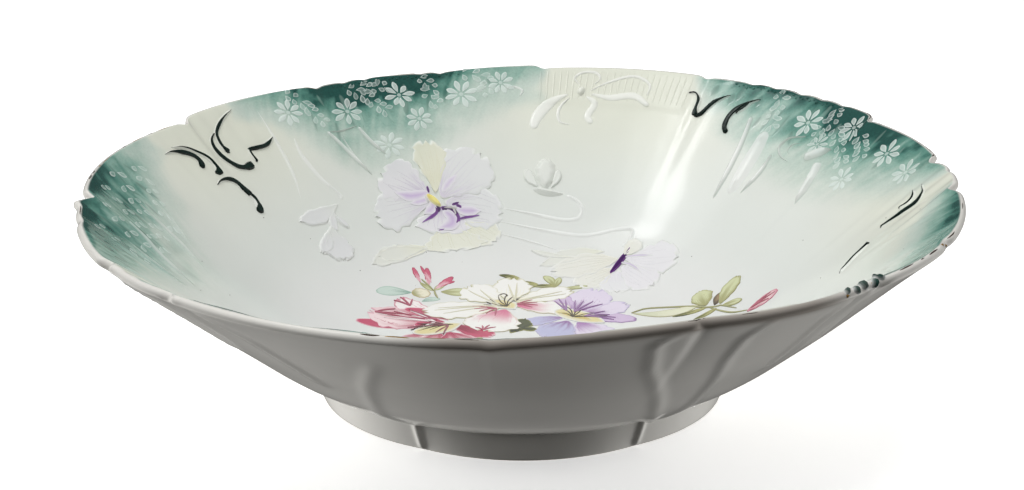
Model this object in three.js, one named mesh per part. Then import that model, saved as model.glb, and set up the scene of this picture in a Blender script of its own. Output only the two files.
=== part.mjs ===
// Porcelain serving bowl: a flared shell with a lobed, scalloped rim, a six-lobed foot ring luted
// under it, and sprigged relief (ribbon, blossoms, stems, drapery folds, scrolls) on the inner wall.
// Millimetres and degrees, +Z up, origin on the bowl's axis in the plane the foot rests on.
// An azimuth is the angle about the axis from +X; a "reach" is a distance from the axis.
import * as THREE from 'three';

// ---- Driving dimensions of the shell ---------------------------------------------------------
const RIM_REACH = 133.3;       // outermost reach of the plain lip, before the lobes
const RIM_HEIGHT = 64.7;       // height of the plain lip, before the lobes
const LIP_RADIUS = 2.0;        // roundness of the lip
const WALL = 4.0;              // wall thickness, square to the wall
const FLOOR_TOP = 10.0;        // inside floor above the table
const RECESS_TOP = 6.0;        // underside of the floor, inside the foot ring
const WALL_SLOPE = 0.83;       // rise of the flared wall per unit of reach
const FLOOR_REACH = 45.0;      // the flat floor ends here
const COVE_END = 85.0;         // the cove between floor and wall ends here
const FLARE_START = 80.0;      // the rim's lobes fade out downwards and end here
const SHELL_STEPS = 90;        // facets around the axis

// ---- Driving dimensions of the foot ring -----------------------------------------------------
const FOOT_INNER = 57.5;       // inner edge of the resting face
const FOOT_OUTER = 62.5;       // outer edge of the resting face
const FOOT_TOP_INNER = 56.3;
const FOOT_TOP_OUTER = 65.5;
const SEAT_INNER = 55.3;       // the conical seat under the shell that the ring is luted to
const SEAT_OUTER = 65.8;
const SEAT_OUTER_HEIGHT = 9.8;
const FOOT_LOBES = 6;
const FOOT_SEAM = 2.5;         // azimuth of one seam between two foot lobes
const FOOT_LOBE_DEPTH = 1.2;
const JOINT_GAP = 0.3;         // slip joint between two pieces of clay

// ---- Rim lobes, anticlockwise: azimuth where each starts, reach at its two ends, how far its
// middle bows out, and its height at the two ends. Neighbours that don't meet make a step. -------
const RIM_LOBES = [
  [-172, 132.0, 135.5, 1.0, 64.5, 63.0],
  [-148, 134.0, 134.5, 1.0, 63.0, 63.0],
  [-137, 134.5, 132.0, 1.0, 63.0, 64.0],
  [-94, 132.0, 131.0, -1.5, 63.5, 66.5],
  [-69, 128.5, 129.5, 2.5, 65.5, 65.0],
  [-41, 129.0, 132.0, 2.0, 63.5, 64.5],
  [-3, 131.0, 131.5, 2.0, 64.5, 64.5],
  [11, 133.0, 132.0, 1.5, 64.5, 65.0],
  [30, 135.5, 134.0, 1.5, 65.5, 65.5],
  [61, 135.0, 132.5, 2.0, 65.5, 64.5],
  [87, 133.5, 131.0, 1.0, 65.5, 64.0],
  [103, 130.5, 130.5, 1.0, 64.5, 64.0],
  [122, 129.5, 130.0, 2.0, 64.5, 65.0],
  [150, 128.0, 131.0, 2.5, 64.5, 65.0],
];

// ---- The bowl's form -------------------------------------------------------------------------
const FULL_TURN = 360;
const { degToRad, radToDeg, clamp, lerp } = THREE.MathUtils;

// Reach and height of the lip at an azimuth.
function rimAt(azimuth) {
  const first = RIM_LOBES[0][0];
  const turned = THREE.MathUtils.euclideanModulo(azimuth - first, FULL_TURN) + first;
  const index = RIM_LOBES.findLastIndex((lobe) => turned >= lobe[0]);
  const [start, reachA, reachB, bow, heightA, heightB] = RIM_LOBES[index];
  const end = index + 1 < RIM_LOBES.length ? RIM_LOBES[index + 1][0] : first + FULL_TURN;
  const t = (turned - start) / (end - start);
  const swell = bow * Math.sin(Math.PI * t) ** 0.7;
  return { reach: lerp(reachA, reachB, t) + swell, height: lerp(heightA, heightB, t) };
}

// Height and slope of the inner surface at a reach: flat floor, cove, straight flared wall.
function innerSurface(reach) {
  const cove = COVE_END - FLOOR_REACH;
  const along = clamp(reach - FLOOR_REACH, 0, cove);
  const beyond = Math.max(reach - COVE_END, 0);
  const height = FLOOR_TOP + WALL_SLOPE * ((along * along) / (2 * cove) + beyond);
  return { height, slope: (WALL_SLOPE * along) / cove };
}

// Moves a point of the plain bowl to its place on the lobed one.
function lobed(azimuth, reach, height) {
  const rim = rimAt(azimuth);
  const share = clamp((reach - FLARE_START) / (RIM_REACH - FLARE_START), 0, 1) ** 2;
  const angle = degToRad(azimuth);
  const r = reach + share * (rim.reach - RIM_REACH);
  const z = height + share * (rim.height - RIM_HEIGHT);
  return new THREE.Vector3(r * Math.cos(angle), r * Math.sin(angle), z);
}

// A point at a lift above the inner surface, square to it.
function onWall(azimuth, reach, lift) {
  const { height, slope } = innerSurface(reach);
  const tilt = Math.atan(slope);
  return lobed(azimuth, reach - lift * Math.sin(tilt), height + lift * Math.cos(tilt));
}

// ---- Turned pieces ---------------------------------------------------------------------------
// Revolves a profile of [reach, height] pairs about +Z and moves each vertex by place().
function turned(profile, place) {
  const points = profile.map(([reach, height]) => new THREE.Vector2(reach, height));
  const geometry = new THREE.LatheGeometry(points, SHELL_STEPS).rotateX(Math.PI / 2);
  const position = geometry.attributes.position;
  for (let i = 0; i < position.count; i += 1) {
    const p = new THREE.Vector3().fromBufferAttribute(position, i);
    const moved = place(radToDeg(Math.atan2(p.y, p.x)), Math.hypot(p.x, p.y), p.z);
    position.setXYZ(i, moved.x, moved.y, moved.z);
  }
  return geometry;
}

function bowlShell() {
  const underside = [[0, RECESS_TOP], [SEAT_INNER, RECESS_TOP], [SEAT_OUTER, SEAT_OUTER_HEIGHT]];
  const outside = [67, 76, 86, 97, 108, 118, 127].map((reach) => {
    const { height, slope } = innerSurface(reach);
    const tilt = Math.atan(slope);
    return [reach + WALL * Math.sin(tilt), height - WALL * Math.cos(tilt)];
  });
  const lip = [-15, 30, 75, 120].map((angle) => [
    RIM_REACH - LIP_RADIUS + LIP_RADIUS * Math.cos(degToRad(angle)),
    RIM_HEIGHT - LIP_RADIUS + LIP_RADIUS * Math.sin(degToRad(angle)),
  ]);
  const inside = [127, 118, 108, 97, 86, 79, 72, 65, 58, 51, FLOOR_REACH, 0].map((reach) => [
    reach,
    innerSurface(reach).height,
  ]);
  return turned([...underside, ...outside, ...lip, ...inside], lobed);
}

function footRing() {
  const seatFall = (SEAT_OUTER_HEIGHT - RECESS_TOP) / (SEAT_OUTER - SEAT_INNER);
  const seatAt = (reach) => RECESS_TOP + seatFall * (reach - SEAT_INNER);
  const drop = JOINT_GAP * Math.hypot(1, seatFall);
  const profile = [
    [FOOT_INNER, 0],
    [FOOT_OUTER, 0],
    [FOOT_TOP_OUTER, seatAt(FOOT_TOP_OUTER) - drop],
    [FOOT_TOP_INNER, seatAt(FOOT_TOP_INNER) - drop],
    [FOOT_INNER, 0],
  ];
  const topHeight = seatAt(FOOT_TOP_OUTER);
  return turned(profile, (azimuth, reach, height) => {
    const swell = Math.abs(Math.sin(degToRad((FOOT_LOBES / 2) * (azimuth - FOOT_SEAM))));
    const pinch = FOOT_LOBE_DEPTH * (1 - swell) * (1 - height / topHeight);
    const angle = degToRad(azimuth);
    return new THREE.Vector3((reach - pinch) * Math.cos(angle), (reach - pinch) * Math.sin(angle), height);
  });
}

// ---- Sprigs: relief pressed in small moulds and luted to the inner wall -------------------------
const SPRIG_GAP = 0.5;         // clay joint under a sprig, enough for the shell's facets
const STRAND_SIDES = 6;
const STRAND_STEPS = 9;
const STRAND_TIP = 0.35;       // width of a strand's tips, as a share of its full width
const PAD_STEPS = 30;
const PAD_RINGS = 4;

// A tapered strand along [azimuth, reach] stations, with its full width and height.
function strand(stations, width, height) {
  const route = new THREE.CatmullRomCurve3(stations.map(([a, r]) => new THREE.Vector3(a, r, 0)));
  const geometry = new THREE.CylinderGeometry(1, 1, 1, STRAND_SIDES, STRAND_STEPS);
  const position = geometry.attributes.position;
  for (let i = 0; i < position.count; i += 1) {
    const t = clamp(position.getY(i) + 0.5, 0, 1);
    const station = route.getPoint(t);
    const ahead = route.getTangent(t);
    // On the wall a degree of azimuth is an arc, and a step of reach is a step up the slope.
    const arc = degToRad(station.y);
    const rise = Math.hypot(1, innerSurface(station.y).slope);
    const along = new THREE.Vector2(ahead.x * arc, ahead.y * rise).normalize();
    const taper = lerp(STRAND_TIP, 1, Math.sin(Math.PI * t) ** 0.6);
    const side = position.getX(i) * (width / 2) * taper;
    const lift = SPRIG_GAP + (height * taper * (1 + position.getZ(i))) / 2;
    const azimuth = station.x - (side * along.y) / arc;
    const reach = station.y + (side * along.x) / rise;
    const p = onWall(azimuth, reach, lift);
    position.setXYZ(i, p.x, p.y, p.z);
  }
  return geometry;
}

// Reach of an outline of petals in a direction: each petal is [direction, length, half width],
// directions in degrees from straight up the wall, positive towards smaller azimuths.
function petalReach(petals, core, direction) {
  const reaches = petals.map(([heading, length, halfWidth]) => {
    const off = Math.abs(THREE.MathUtils.euclideanModulo(direction - heading + 180, FULL_TURN) - 180);
    const halfAngle = radToDeg(Math.atan2(halfWidth, length * 0.6));
    return off < halfAngle ? length * Math.cos((Math.PI / 2) * (off / halfAngle)) ** 0.5 : 0;
  });
  return Math.max(core, ...reaches);
}

// A low domed pad with a petalled outline about one point of the wall.
function pad(azimuth, reach, petals, core, height) {
  const geometry = new THREE.SphereGeometry(1, PAD_STEPS, PAD_RINGS);
  const position = geometry.attributes.position;
  for (let i = 0; i < position.count; i += 1) {
    const p = new THREE.Vector3().fromBufferAttribute(position, i);
    const spread = Math.hypot(p.x, p.z);
    const direction = radToDeg(Math.atan2(-p.x, p.z));
    const out = spread * petalReach(petals, core, direction);
    const up = out * Math.cos(degToRad(direction));
    const across = out * Math.sin(degToRad(direction));
    const slope = innerSurface(reach).slope;
    const lift = SPRIG_GAP + height * (p.y > 0 ? 0.3 + 0.7 * p.y : 0.3 * (1 + p.y));
    const stationReach = reach + up / Math.hypot(1, slope);
    const moved = onWall(azimuth - across / degToRad(reach), stationReach, lift);
    position.setXYZ(i, moved.x, moved.y, moved.z);
  }
  return geometry;
}

// ---- Where the sprigs sit: stations are [azimuth, reach], sizes are [width, height] --------------
const STRANDS = {
  ribbon_loop: [[[80.8, 124.8], [81.4, 127.2], [79.8, 128.8], [77.8, 128], [77.6, 125.6]], 2.2, 1.4],
  ribbon_left_tail: [[[82.4, 121.4], [84.2, 119.8], [86.8, 116.2], [87.9, 111]], 5.5, 1.2],
  ribbon_centre_tail: [[[79.6, 119.6], [78.2, 117], [79.4, 112.5]], 4.0, 1.2],
  ribbon_right_tail: [[[77.6, 120.8], [74, 122.6], [70.4, 121], [68.4, 118.5]], 5.5, 1.2],
  bud_stem: [[[82.4, 88.4], [79.3, 88.2], [76.3, 86], [76.4, 84], [79.6, 82.6], [90.3, 84.5], [94.6, 86]], 1.6, 1.2],
  trailing_stem: [[[94.6, 81.2], [84.1, 78.8], [72.6, 77.7], [65.9, 81.3], [62.4, 80.2]], 1.6, 1.2],
  bell_stem: [[[131.8, 108.8], [131.5, 99], [129.4, 95], [131, 92.8]], 1.8, 1.2],
  right_fold_1: [[[49.2, 119.5], [48.6, 108.5], [48.1, 96.5]], 3.4, 2.0],
  right_fold_2: [[[45.4, 117], [45.1, 108.5], [44.9, 100]], 2.6, 1.6],
  right_fold_3: [[[40.2, 110], [40.3, 105.5], [41, 100]], 3.4, 1.8],
  right_fold_4: [[[31.6, 113.5], [30.6, 108.5], [29.7, 103.5]], 3.4, 2.0],
  right_loop: [[[38.6, 119.6], [41.6, 117.8], [42, 114.8], [39.9, 113.4]], 1.8, 1.4],
  right_drop: [[[37.6, 114], [34.6, 116.6], [31.8, 120]], 4.0, 2.2],
  left_fold_1: [[[125.2, 115.5], [123.2, 109], [120.8, 101]], 2.6, 1.5],
  left_fold_2: [[[119, 115], [117.9, 110.5], [116.2, 106]], 2.2, 1.4],
  west_fold_1: [[[175.5, 118], [177.5, 106], [180.5, 97]], 3.2, 1.6],
  west_fold_2: [[[-174.5, 119], [-170.5, 108], [-167.5, 99]], 3.2, 1.6],
  scroll_west_1: [[[158.6, 124], [155.2, 122], [153.7, 118.6], [154, 116.4]], 2.2, 1.2],
  scroll_west_2: [[[155.8, 126], [152.9, 122], [151.4, 118.7], [151.4, 114.6]], 2.2, 1.2],
  scroll_west_3: [[[154, 110.4], [151.2, 110.4], [149.4, 106.8], [148.6, 102.7], [150.2, 98.4]], 2.4, 1.2],
  scroll_west_4: [[[139.9, 127.8], [144.2, 124.8], [146.3, 119.8], [145.8, 117]], 2.2, 1.2],
  scroll_west_5: [[[147.7, 122.8], [148.4, 118], [146.9, 113.1], [143.2, 111.4]], 2.4, 1.2],
  scroll_west_6: [[[141.6, 113.6], [141.2, 116.4], [138.6, 115.8], [135.6, 117.4]], 2.0, 1.2],
  scroll_north_1: [[[62.6, 125.2], [61, 124.2], [60.2, 119.4], [58.8, 121.4], [56.6, 126]], 2.2, 1.2],
  scroll_north_2: [[[53.1, 115], [54.1, 118], [53.6, 121.6], [50.9, 126]], 2.2, 1.2],
  scroll_east_1: [[[6, 123.8], [2.9, 120.7], [2.7, 113.5], [3, 110.4]], 2.2, 1.2],
  scroll_east_2: [[[0.8, 106.2], [0.1, 102.5], [-2.7, 97.2]], 2.0, 1.2],
  rim_beading: [[[-48, 126.5], [-45.4, 127], [-42.8, 126.5]], 4.5, 2.0],
};
// The moulded drapery of the lobe nearest +X +Y comes again in the opposite lobe.
const OPPOSITE_TURN = -144;
const REPEATED = {
  south_fold_1: 'right_fold_1',
  south_fold_2: 'right_fold_2',
  south_fold_3: 'right_fold_3',
  south_fold_4: 'right_fold_4',
  south_drop: 'right_drop',
  scroll_south_1: 'scroll_north_1',
  scroll_south_2: 'scroll_north_2',
};
for (const [name, model] of Object.entries(REPEATED)) {
  const [stations, width, height] = STRANDS[model];
  STRANDS[name] = [stations.map(([azimuth, reach]) => [azimuth + OPPOSITE_TURN, reach]), width, height];
}
const PADS = {
  large_blossom: [108, 88.5, [
    [0, 26, 9], [42, 24, 11], [-55, 22, 10], [-98, 21, 9], [122, 22, 9], [165, 16, 9],
  ], 9, 2.6],
  blossom_leaf_west: [122.5, 76, [[-80, 13, 6], [85, 12, 6]], 5, 1.4],
  small_blossom: [60.5, 68, [[-28, 8, 7], [68, 19, 8], [108, 17, 8], [145, 12, 7], [-150, 9, 7]], 6, 2.0],
  blossom_leaf_north: [76.5, 68.5, [[-95, 12, 6], [80, 8, 5]], 5, 1.4],
  ribbon_knot: [80.5, 122.2, [[180, 2, 2]], 1.6, 1.8],
  rose_bud: [86.4, 94.8, [[0, 8, 5], [160, 8, 4]], 4.5, 2.4],
  bell_blossom: [137.5, 84, [[10, 7, 5], [-40, 11, 5], [178, 9, 7], [45, 8, 5]], 5, 1.8],
};

// ---- Materials -------------------------------------------------------------------------------
const GLAZE = { roughness: 0.12, metalness: 0 };
const PORCELAIN = 0xe4e6e0;
const GREY_FOOT = 0xd2d2ce;
const RELIEF = 0xe9e9dd;
const LILAC = 0xddd6e4;
const SCROLL_GREEN = 0x17382f;
const RELIEF_COLOURS = { large_blossom: LILAC, small_blossom: LILAC };

function piece(name, geometry, colour) {
  const mesh = new THREE.Mesh(geometry, new THREE.MeshStandardMaterial({ color: colour, ...GLAZE }));
  mesh.name = name;
  return mesh;
}

const bowl = new THREE.Group();
bowl.add(piece('bowl_shell', bowlShell(), PORCELAIN));
bowl.add(piece('foot_ring', footRing(), GREY_FOOT));
for (const [name, [stations, width, height]] of Object.entries(STRANDS)) {
  const colour = name.startsWith('scroll') ? SCROLL_GREEN : RELIEF;
  bowl.add(piece(name, strand(stations, width, height), colour));
}
for (const [name, [azimuth, reach, petals, core, height]] of Object.entries(PADS)) {
  bowl.add(piece(name, pad(azimuth, reach, petals, core, height), RELIEF_COLOURS[name] ?? RELIEF));
}

export default bowl;
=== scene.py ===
"""A moulded porcelain serving bowl: its looks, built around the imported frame.

Lengths in the classes are millimetres and angles are degrees; every mesh is scaled to metres when it
is made. An azimuth is the angle about the bowl's axis from +X. A station says where a point is on
the bowl's section: up to LIP_START it is the distance from the axis on the inner surface, and past
it the same scale runs on over the rounded lip and down the outside.
"""
import logging
from dataclasses import dataclass
from enum import Enum

import bpy
import numpy as np
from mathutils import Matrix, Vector


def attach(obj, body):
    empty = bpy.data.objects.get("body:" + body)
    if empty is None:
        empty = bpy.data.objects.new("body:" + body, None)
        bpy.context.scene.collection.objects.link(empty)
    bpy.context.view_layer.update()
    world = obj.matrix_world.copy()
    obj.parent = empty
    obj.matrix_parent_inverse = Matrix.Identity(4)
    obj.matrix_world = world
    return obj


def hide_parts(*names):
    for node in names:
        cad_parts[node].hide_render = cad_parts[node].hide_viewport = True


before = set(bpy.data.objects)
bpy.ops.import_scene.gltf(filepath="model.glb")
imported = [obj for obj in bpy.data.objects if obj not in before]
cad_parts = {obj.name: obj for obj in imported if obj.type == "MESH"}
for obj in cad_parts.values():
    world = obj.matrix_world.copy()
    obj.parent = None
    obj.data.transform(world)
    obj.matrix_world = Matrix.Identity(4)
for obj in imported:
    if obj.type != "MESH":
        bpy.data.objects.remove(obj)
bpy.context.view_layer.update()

LOG = logging.getLogger("serving_bowl")
BODY = "root"
TO_METRES = 0.001
FULL_TURN = 360.0
Array = np.ndarray
Colour = tuple[float, float, float]


def linear(red: int, green: int, blue: int) -> Colour:
    """A display colour of 0 to 255 as linear light."""
    channels = np.array([red, green, blue]) / 255
    return tuple(np.where(channels <= 0.04045, channels / 12.92, ((channels + 0.055) / 1.055) ** 2.4))


def ease(value: Array, start: float, end: float) -> Array:
    """A smooth step from 0 at start to 1 at end."""
    t = np.clip((value - start) / (end - start), 0, 1)
    return t * t * (3 - 2 * t)


def turned_by(azimuth: Array, centre: float) -> Array:
    """The signed turn from centre to azimuth, between -180 and 180 degrees."""
    return (azimuth - centre + 180) % FULL_TURN - 180


class Slot(Enum):
    """The record's material slots."""

    SHELL = "glazed_shell"
    FOOT = "glazed_foot"
    RELIEF = "relief_glaze"
    LILAC = "lilac_relief"
    SCROLL = "scroll_enamel"
    FLOWERS = "flower_enamel"
    GILDING = "gilding"


# ---- The form every piece lies on -------------------------------------------------------------


@dataclass(frozen=True)
class RimLobe:
    """One lobe of the rim, anticlockwise from its start to the next lobe's."""

    start: float
    reach_a: float
    reach_b: float
    bow: float
    height_a: float
    height_b: float


@dataclass(frozen=True)
class RimNick:
    """A small pinch in the lip where two mouldings meet."""

    azimuth: float
    width: float
    depth: float
    drop: float


@dataclass(frozen=True)
class Mottle:
    """Smooth seeded noise on a lattice that closes round the bowl."""

    seed: int
    columns: int
    row_height: float
    rows: int = 64

    def at(self, azimuth: Array, station: Array) -> Array:
        """Noise from -1 to 1.

        Args:
            azimuth: Degrees about the axis.
            station: Stations on the section.

        Returns:
            One value for each point.
        """
        lattice = np.random.default_rng(self.seed).uniform(-1, 1, (self.columns, self.rows))
        across = (azimuth % FULL_TURN) / FULL_TURN * self.columns
        up = np.clip(station / self.row_height, 0, self.rows - 1.001)
        i, j = np.floor(across).astype(int), np.floor(up).astype(int)
        a, b = ease(across - i, 0, 1), ease(up - j, 0, 1)
        i, k = i % self.columns, (i + 1) % self.columns
        low = lattice[i, j] * (1 - a) + lattice[k, j] * a
        high = lattice[i, j + 1] * (1 - a) + lattice[k, j + 1] * a
        return low * (1 - b) + high * b


@dataclass(frozen=True)
class BowlForm:
    """The bowl's section and the lobes of its rim."""

    rim_reach: float = 133.3
    rim_height: float = 64.7
    floor_top: float = 10.0
    floor_reach: float = 45.0
    cove_end: float = 85.0
    wall_slope: float = 0.83
    wall: float = 4.0
    lip_radius: float = 1.35
    thin_start: float = 96.0
    flare_start: float = 80.0
    lip_start: float = 130.6
    step_width: float = 1.8
    recess_top: float = 6.0
    seat_inner: float = 55.3
    seat_outer: float = 65.8
    seat_outer_height: float = 9.8
    lobes: tuple[RimLobe, ...] = (
        RimLobe(-172, 132.0, 135.5, 1.0, 64.5, 63.0),
        RimLobe(-148, 134.0, 134.5, 1.0, 63.0, 63.0),
        RimLobe(-137, 134.5, 132.0, 1.0, 63.0, 64.0),
        RimLobe(-94, 132.0, 131.0, -1.5, 63.5, 66.0),
        RimLobe(-69, 128.5, 129.5, 2.5, 65.5, 65.0),
        RimLobe(-41, 129.0, 132.0, 2.0, 63.5, 64.5),
        RimLobe(-3, 131.0, 131.5, 2.0, 64.5, 64.5),
        RimLobe(11, 133.0, 132.0, 1.5, 64.5, 65.0),
        RimLobe(30, 135.5, 134.0, 1.5, 65.5, 65.5),
        RimLobe(61, 135.0, 132.5, 2.0, 65.5, 64.5),
        RimLobe(87, 133.5, 131.0, 1.0, 65.5, 64.0),
        RimLobe(103, 130.5, 130.5, 1.0, 64.5, 64.0),
        RimLobe(123.6, 129.5, 130.0, 2.0, 64.5, 65.0),
        RimLobe(150, 128.0, 131.0, 2.5, 64.5, 65.0),
    )
    nicks: tuple[RimNick, ...] = (
        RimNick(150, 1.3, 2.2, 1.0), RimNick(-173.2, 1.0, 2.8, 1.4), RimNick(-170.6, 0.9, -1.6, -0.7),
        RimNick(-148.8, 0.9, 2.6, 1.5), RimNick(-146.8, 0.8, -1.0, -0.5), RimNick(-164, 1.2, 0.8, 0.3),
        RimNick(-135, 1.0, 1.6, 0.9), RimNick(-133.4, 0.8, -0.6, -0.3), RimNick(-41, 1.2, 2.2, 1.6),
        RimNick(-43, 0.9, -0.9, -0.6), RimNick(-23.5, 1.0, 1.2, 0.7), RimNick(5, 0.8, 0.8, 0.4),
        RimNick(-69, 1.0, 1.4, 0.8),
        RimNick(-2.4, 1.4, 2.4, 0.9), RimNick(9.6, 1.3, 2.6, 1.0), RimNick(30, 1.0, 1.2, 0.8),
        RimNick(61, 0.9, 0.8, 0.8), RimNick(87, 0.9, 0.6, 0.5), RimNick(103, 0.7, 0.4, 0.5),
        RimNick(106, 0.7, 0.3, 0.4), RimNick(115, 0.8, 0.4, 0.5), RimNick(118.5, 0.8, 0.4, 0.5),
        RimNick(123.6, 1.0, 0.8, 0.8), RimNick(37, 1.0, 0.5, 0.5), RimNick(41, 0.8, 0.4, 0.5),
        RimNick(45, 0.9, 0.5, 0.6), RimNick(49.5, 0.8, 0.4, 0.5), RimNick(53.5, 0.9, 0.5, 0.5),
        RimNick(-46, 0.7, 0.6, 0.5), RimNick(-94, 1.6, 0.5, 0.5), RimNick(-25, 0.9, 0.5, 0.4),
    )

    @property
    def wall_rise(self) -> float:
        """Length of the flared wall per unit of reach."""
        return float(np.hypot(1, self.wall_slope))

    @property
    def lip_end(self) -> float:
        """The station where the lip has turned over into the outside."""
        return self.lip_start + np.pi * self.lip_radius / self.wall_rise

    @property
    def crest(self) -> float:
        """The station of the lip's highest point."""
        return self.lip_start + np.arctan(self.wall_slope) * self.lip_radius / self.wall_rise

    def rim(self, azimuth: Array) -> tuple[Array, Array]:
        """How far the rim's lobes move the lip out and up from the plain one."""
        first = self.lobes[0].start
        turn = (azimuth - first) % FULL_TURN
        reach, height = np.zeros_like(turn), np.zeros_like(turn)
        half = self.step_width / 2
        for index, lobe in enumerate(self.lobes):
            after = self.lobes[index + 1].start if index + 1 < len(self.lobes) else first + FULL_TURN
            middle, span = (lobe.start + after) / 2 - first, after - lobe.start
            off = (turn - middle + 180) % FULL_TURN - 180
            inside = 1 - ease(np.abs(off), span / 2 - half, span / 2 + half)
            t = np.clip(off / span + 0.5, 0, 1)
            swell = lobe.bow * np.sin(np.pi * t) ** 0.7
            reach += inside * (lobe.reach_a + (lobe.reach_b - lobe.reach_a) * t + swell - self.rim_reach)
            height += inside * (lobe.height_a + (lobe.height_b - lobe.height_a) * t - self.rim_height)
        return reach, height

    def pinch(self, azimuth: Array) -> tuple[Array, Array]:
        """How far the nicks draw the lip in and down."""
        depth, drop = np.zeros_like(azimuth), np.zeros_like(azimuth)
        for nick in self.nicks:
            bell = np.exp(-((turned_by(azimuth, nick.azimuth) / nick.width) ** 2))
            depth += nick.depth * bell
            drop += nick.drop * bell
        return depth, drop

    def floor(self, reach: Array) -> tuple[Array, Array]:
        """Height and slope of the inner surface before the lip."""
        cove = self.cove_end - self.floor_reach
        along = np.clip(reach - self.floor_reach, 0, cove)
        beyond = np.maximum(reach - self.cove_end, 0)
        height = self.floor_top + self.wall_slope * (along * along / (2 * cove) + beyond)
        return height, self.wall_slope * along / cove

    def section(self, station: Array) -> tuple[Array, Array, Array, Array]:
        """The section at a station, before the lobes.

        Args:
            station: Stations on the section.

        Returns:
            Reach, height, and the reach and height parts of the outward normal.
        """
        past = np.clip(station - self.lip_start, 0, self.lip_end - self.lip_start)
        outside = station > self.lip_end
        inner_reach = np.where(outside, self.lip_start + self.lip_end - station, station)
        inner_reach = np.minimum(inner_reach, self.lip_start)
        height, slope = self.floor(inner_reach)
        tilt = np.arctan(slope)
        normal = np.pi / 2 + tilt - past * self.wall_rise / self.lip_radius
        thickness = np.where(past > 0, self.lip_radius, 0)
        reach = inner_reach + thickness * (np.sin(tilt) + np.cos(normal))
        height = height + thickness * (np.sin(normal) - np.cos(tilt))
        thinning = ease(inner_reach, self.thin_start, self.lip_start)
        wall = self.wall + (2 * self.lip_radius - self.wall) * thinning
        reach = np.where(outside, inner_reach + wall * np.sin(tilt), reach)
        height = np.where(outside, self.floor(inner_reach)[0] - wall * np.cos(tilt), height)
        normal = np.where(outside, tilt - np.pi / 2, normal)
        return reach, height, np.cos(normal), np.sin(normal)

    def place(self, azimuth: Array, reach: Array, height: Array) -> Array:
        """Moves points of the plain bowl to their places on the lobed one."""
        share = np.clip((reach - self.flare_start) / (self.rim_reach - self.flare_start), 0, 1.05)
        out, up = self.rim(azimuth)
        depth, drop = self.pinch(azimuth)
        near = share**9
        r = reach + share**2 * out - near * depth
        z = height + share**2 * up - near * drop
        angle = np.radians(azimuth)
        return np.stack([r * np.cos(angle), r * np.sin(angle), z], axis=-1)

    def on(self, azimuth: Array, station: Array, lift: Array | float = 0.0) -> Array:
        """Points at a lift above the glaze, square to it."""
        azimuth, station = np.broadcast_arrays(np.asarray(azimuth, float), np.asarray(station, float))
        reach, height, out, up = self.section(station)
        lift = lift + self.moulding(azimuth, station)
        return self.place(azimuth, reach + lift * out, height + lift * up)

    def station_of(self, points: Array) -> tuple[Array, Array]:
        """Azimuth and station of the points of the inner surface nearest to given ones."""
        azimuth = np.degrees(np.arctan2(points[..., 1], points[..., 0]))
        reach = np.hypot(points[..., 0], points[..., 1])
        out = self.rim(azimuth)[0]
        station = reach
        for _ in range(4):
            share = np.clip((station - self.flare_start) / (self.rim_reach - self.flare_start), 0, 1)
            station = reach - share**2 * out
        return azimuth, station

    def moulding(self, azimuth: Array, station: Array) -> Array:
        """Soft relief that was pressed with the shell itself, as a lift in millimetres."""
        inner = 1 - ease(station, self.lip_start, self.crest)
        lift = np.zeros_like(station)
        for fan in FANS:
            off = turned_by(azimuth, fan.centre)
            across = 1 - ease(np.abs(off), fan.half_width - 1.0, fan.half_width + 1.0)
            if fan.fluted:
                lift += 0.3 * across * ease(station, 118.6, 119.8) * inner
            else:
                fade = ease(station, 104, 122) * inner
                lift += 0.17 * across * fade * np.cos(np.radians(off * fan.ripples))
        for lobe in GREEN_LOBES:
            off = turned_by(azimuth, lobe.centre)
            across = 1 - ease(np.abs(off), lobe.half_width - 6, lobe.half_width)
            sway = np.cos(np.radians(off * 21 + 30 * np.sin(np.radians(off * 7))))
            lift += 0.35 * across * ease(station, 92, 112) * inner * sway
        return lift + self.outer_creases(azimuth, station)

    def outer_creases(self, azimuth: Array, station: Array) -> Array:
        """Ridges on the outside, where the panels of the mould met."""
        lift = np.zeros_like(station)
        down = self.lip_start + self.lip_end - station
        reach = np.where(station > self.lip_end, down, np.nan)
        for crease in OUTER_CREASES:
            line = np.interp(reach, crease.reaches, crease.azimuths)
            off = np.radians(turned_by(azimuth, line)) * reach
            ends = ease(reach, crease.reaches[0] - 4, crease.reaches[0] + 2)
            ends = ends * (1 - ease(reach, crease.reaches[-1] - 6, crease.reaches[-1] + 4))
            bump = crease.height * ends * np.exp(-((off / crease.width) ** 2))
            lift += np.nan_to_num(bump)
        return lift


@dataclass(frozen=True)
class Fan:
    """A cream fan between two green lobes."""

    centre: float
    half_width: float
    ripples: float
    fluted: bool = False


@dataclass(frozen=True)
class GreenLobe:
    """A lobe of the rim with a shaded green ground.

    Each shade is an azimuth, the station where the green begins there, and how deep it gets at the lip.
    """

    shades: tuple[tuple[float, float, float], ...]

    @property
    def centre(self) -> float:
        """The azimuth halfway between the lobe's two ends."""
        return (self.shades[0][0] + self.shades[-1][0]) / 2

    @property
    def half_width(self) -> float:
        """Half the turn that the lobe covers."""
        return abs(self.shades[0][0] - self.shades[-1][0]) / 2

    def depth(self, azimuth: Array, station: Array) -> Array:
        """How deep the green is, from 0 to 1."""
        off = turned_by(azimuth, self.centre)
        table = np.array(sorted(self.shades))
        start = np.interp(off, table[:, 0] - self.centre, table[:, 1])
        strength = np.interp(off, table[:, 0] - self.centre, table[:, 2])
        inside = 1 - ease(np.abs(off), self.half_width - 2, self.half_width + 1)
        up = np.clip((station - start) / (131 - start), 0, 1)
        return inside * strength * up**1.55


@dataclass(frozen=True)
class Crease:
    """A ridge up the outside: its azimuth at each reach, from the foot upwards."""

    reaches: tuple[float, ...]
    azimuths: tuple[float, ...]
    width: float
    height: float


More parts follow.
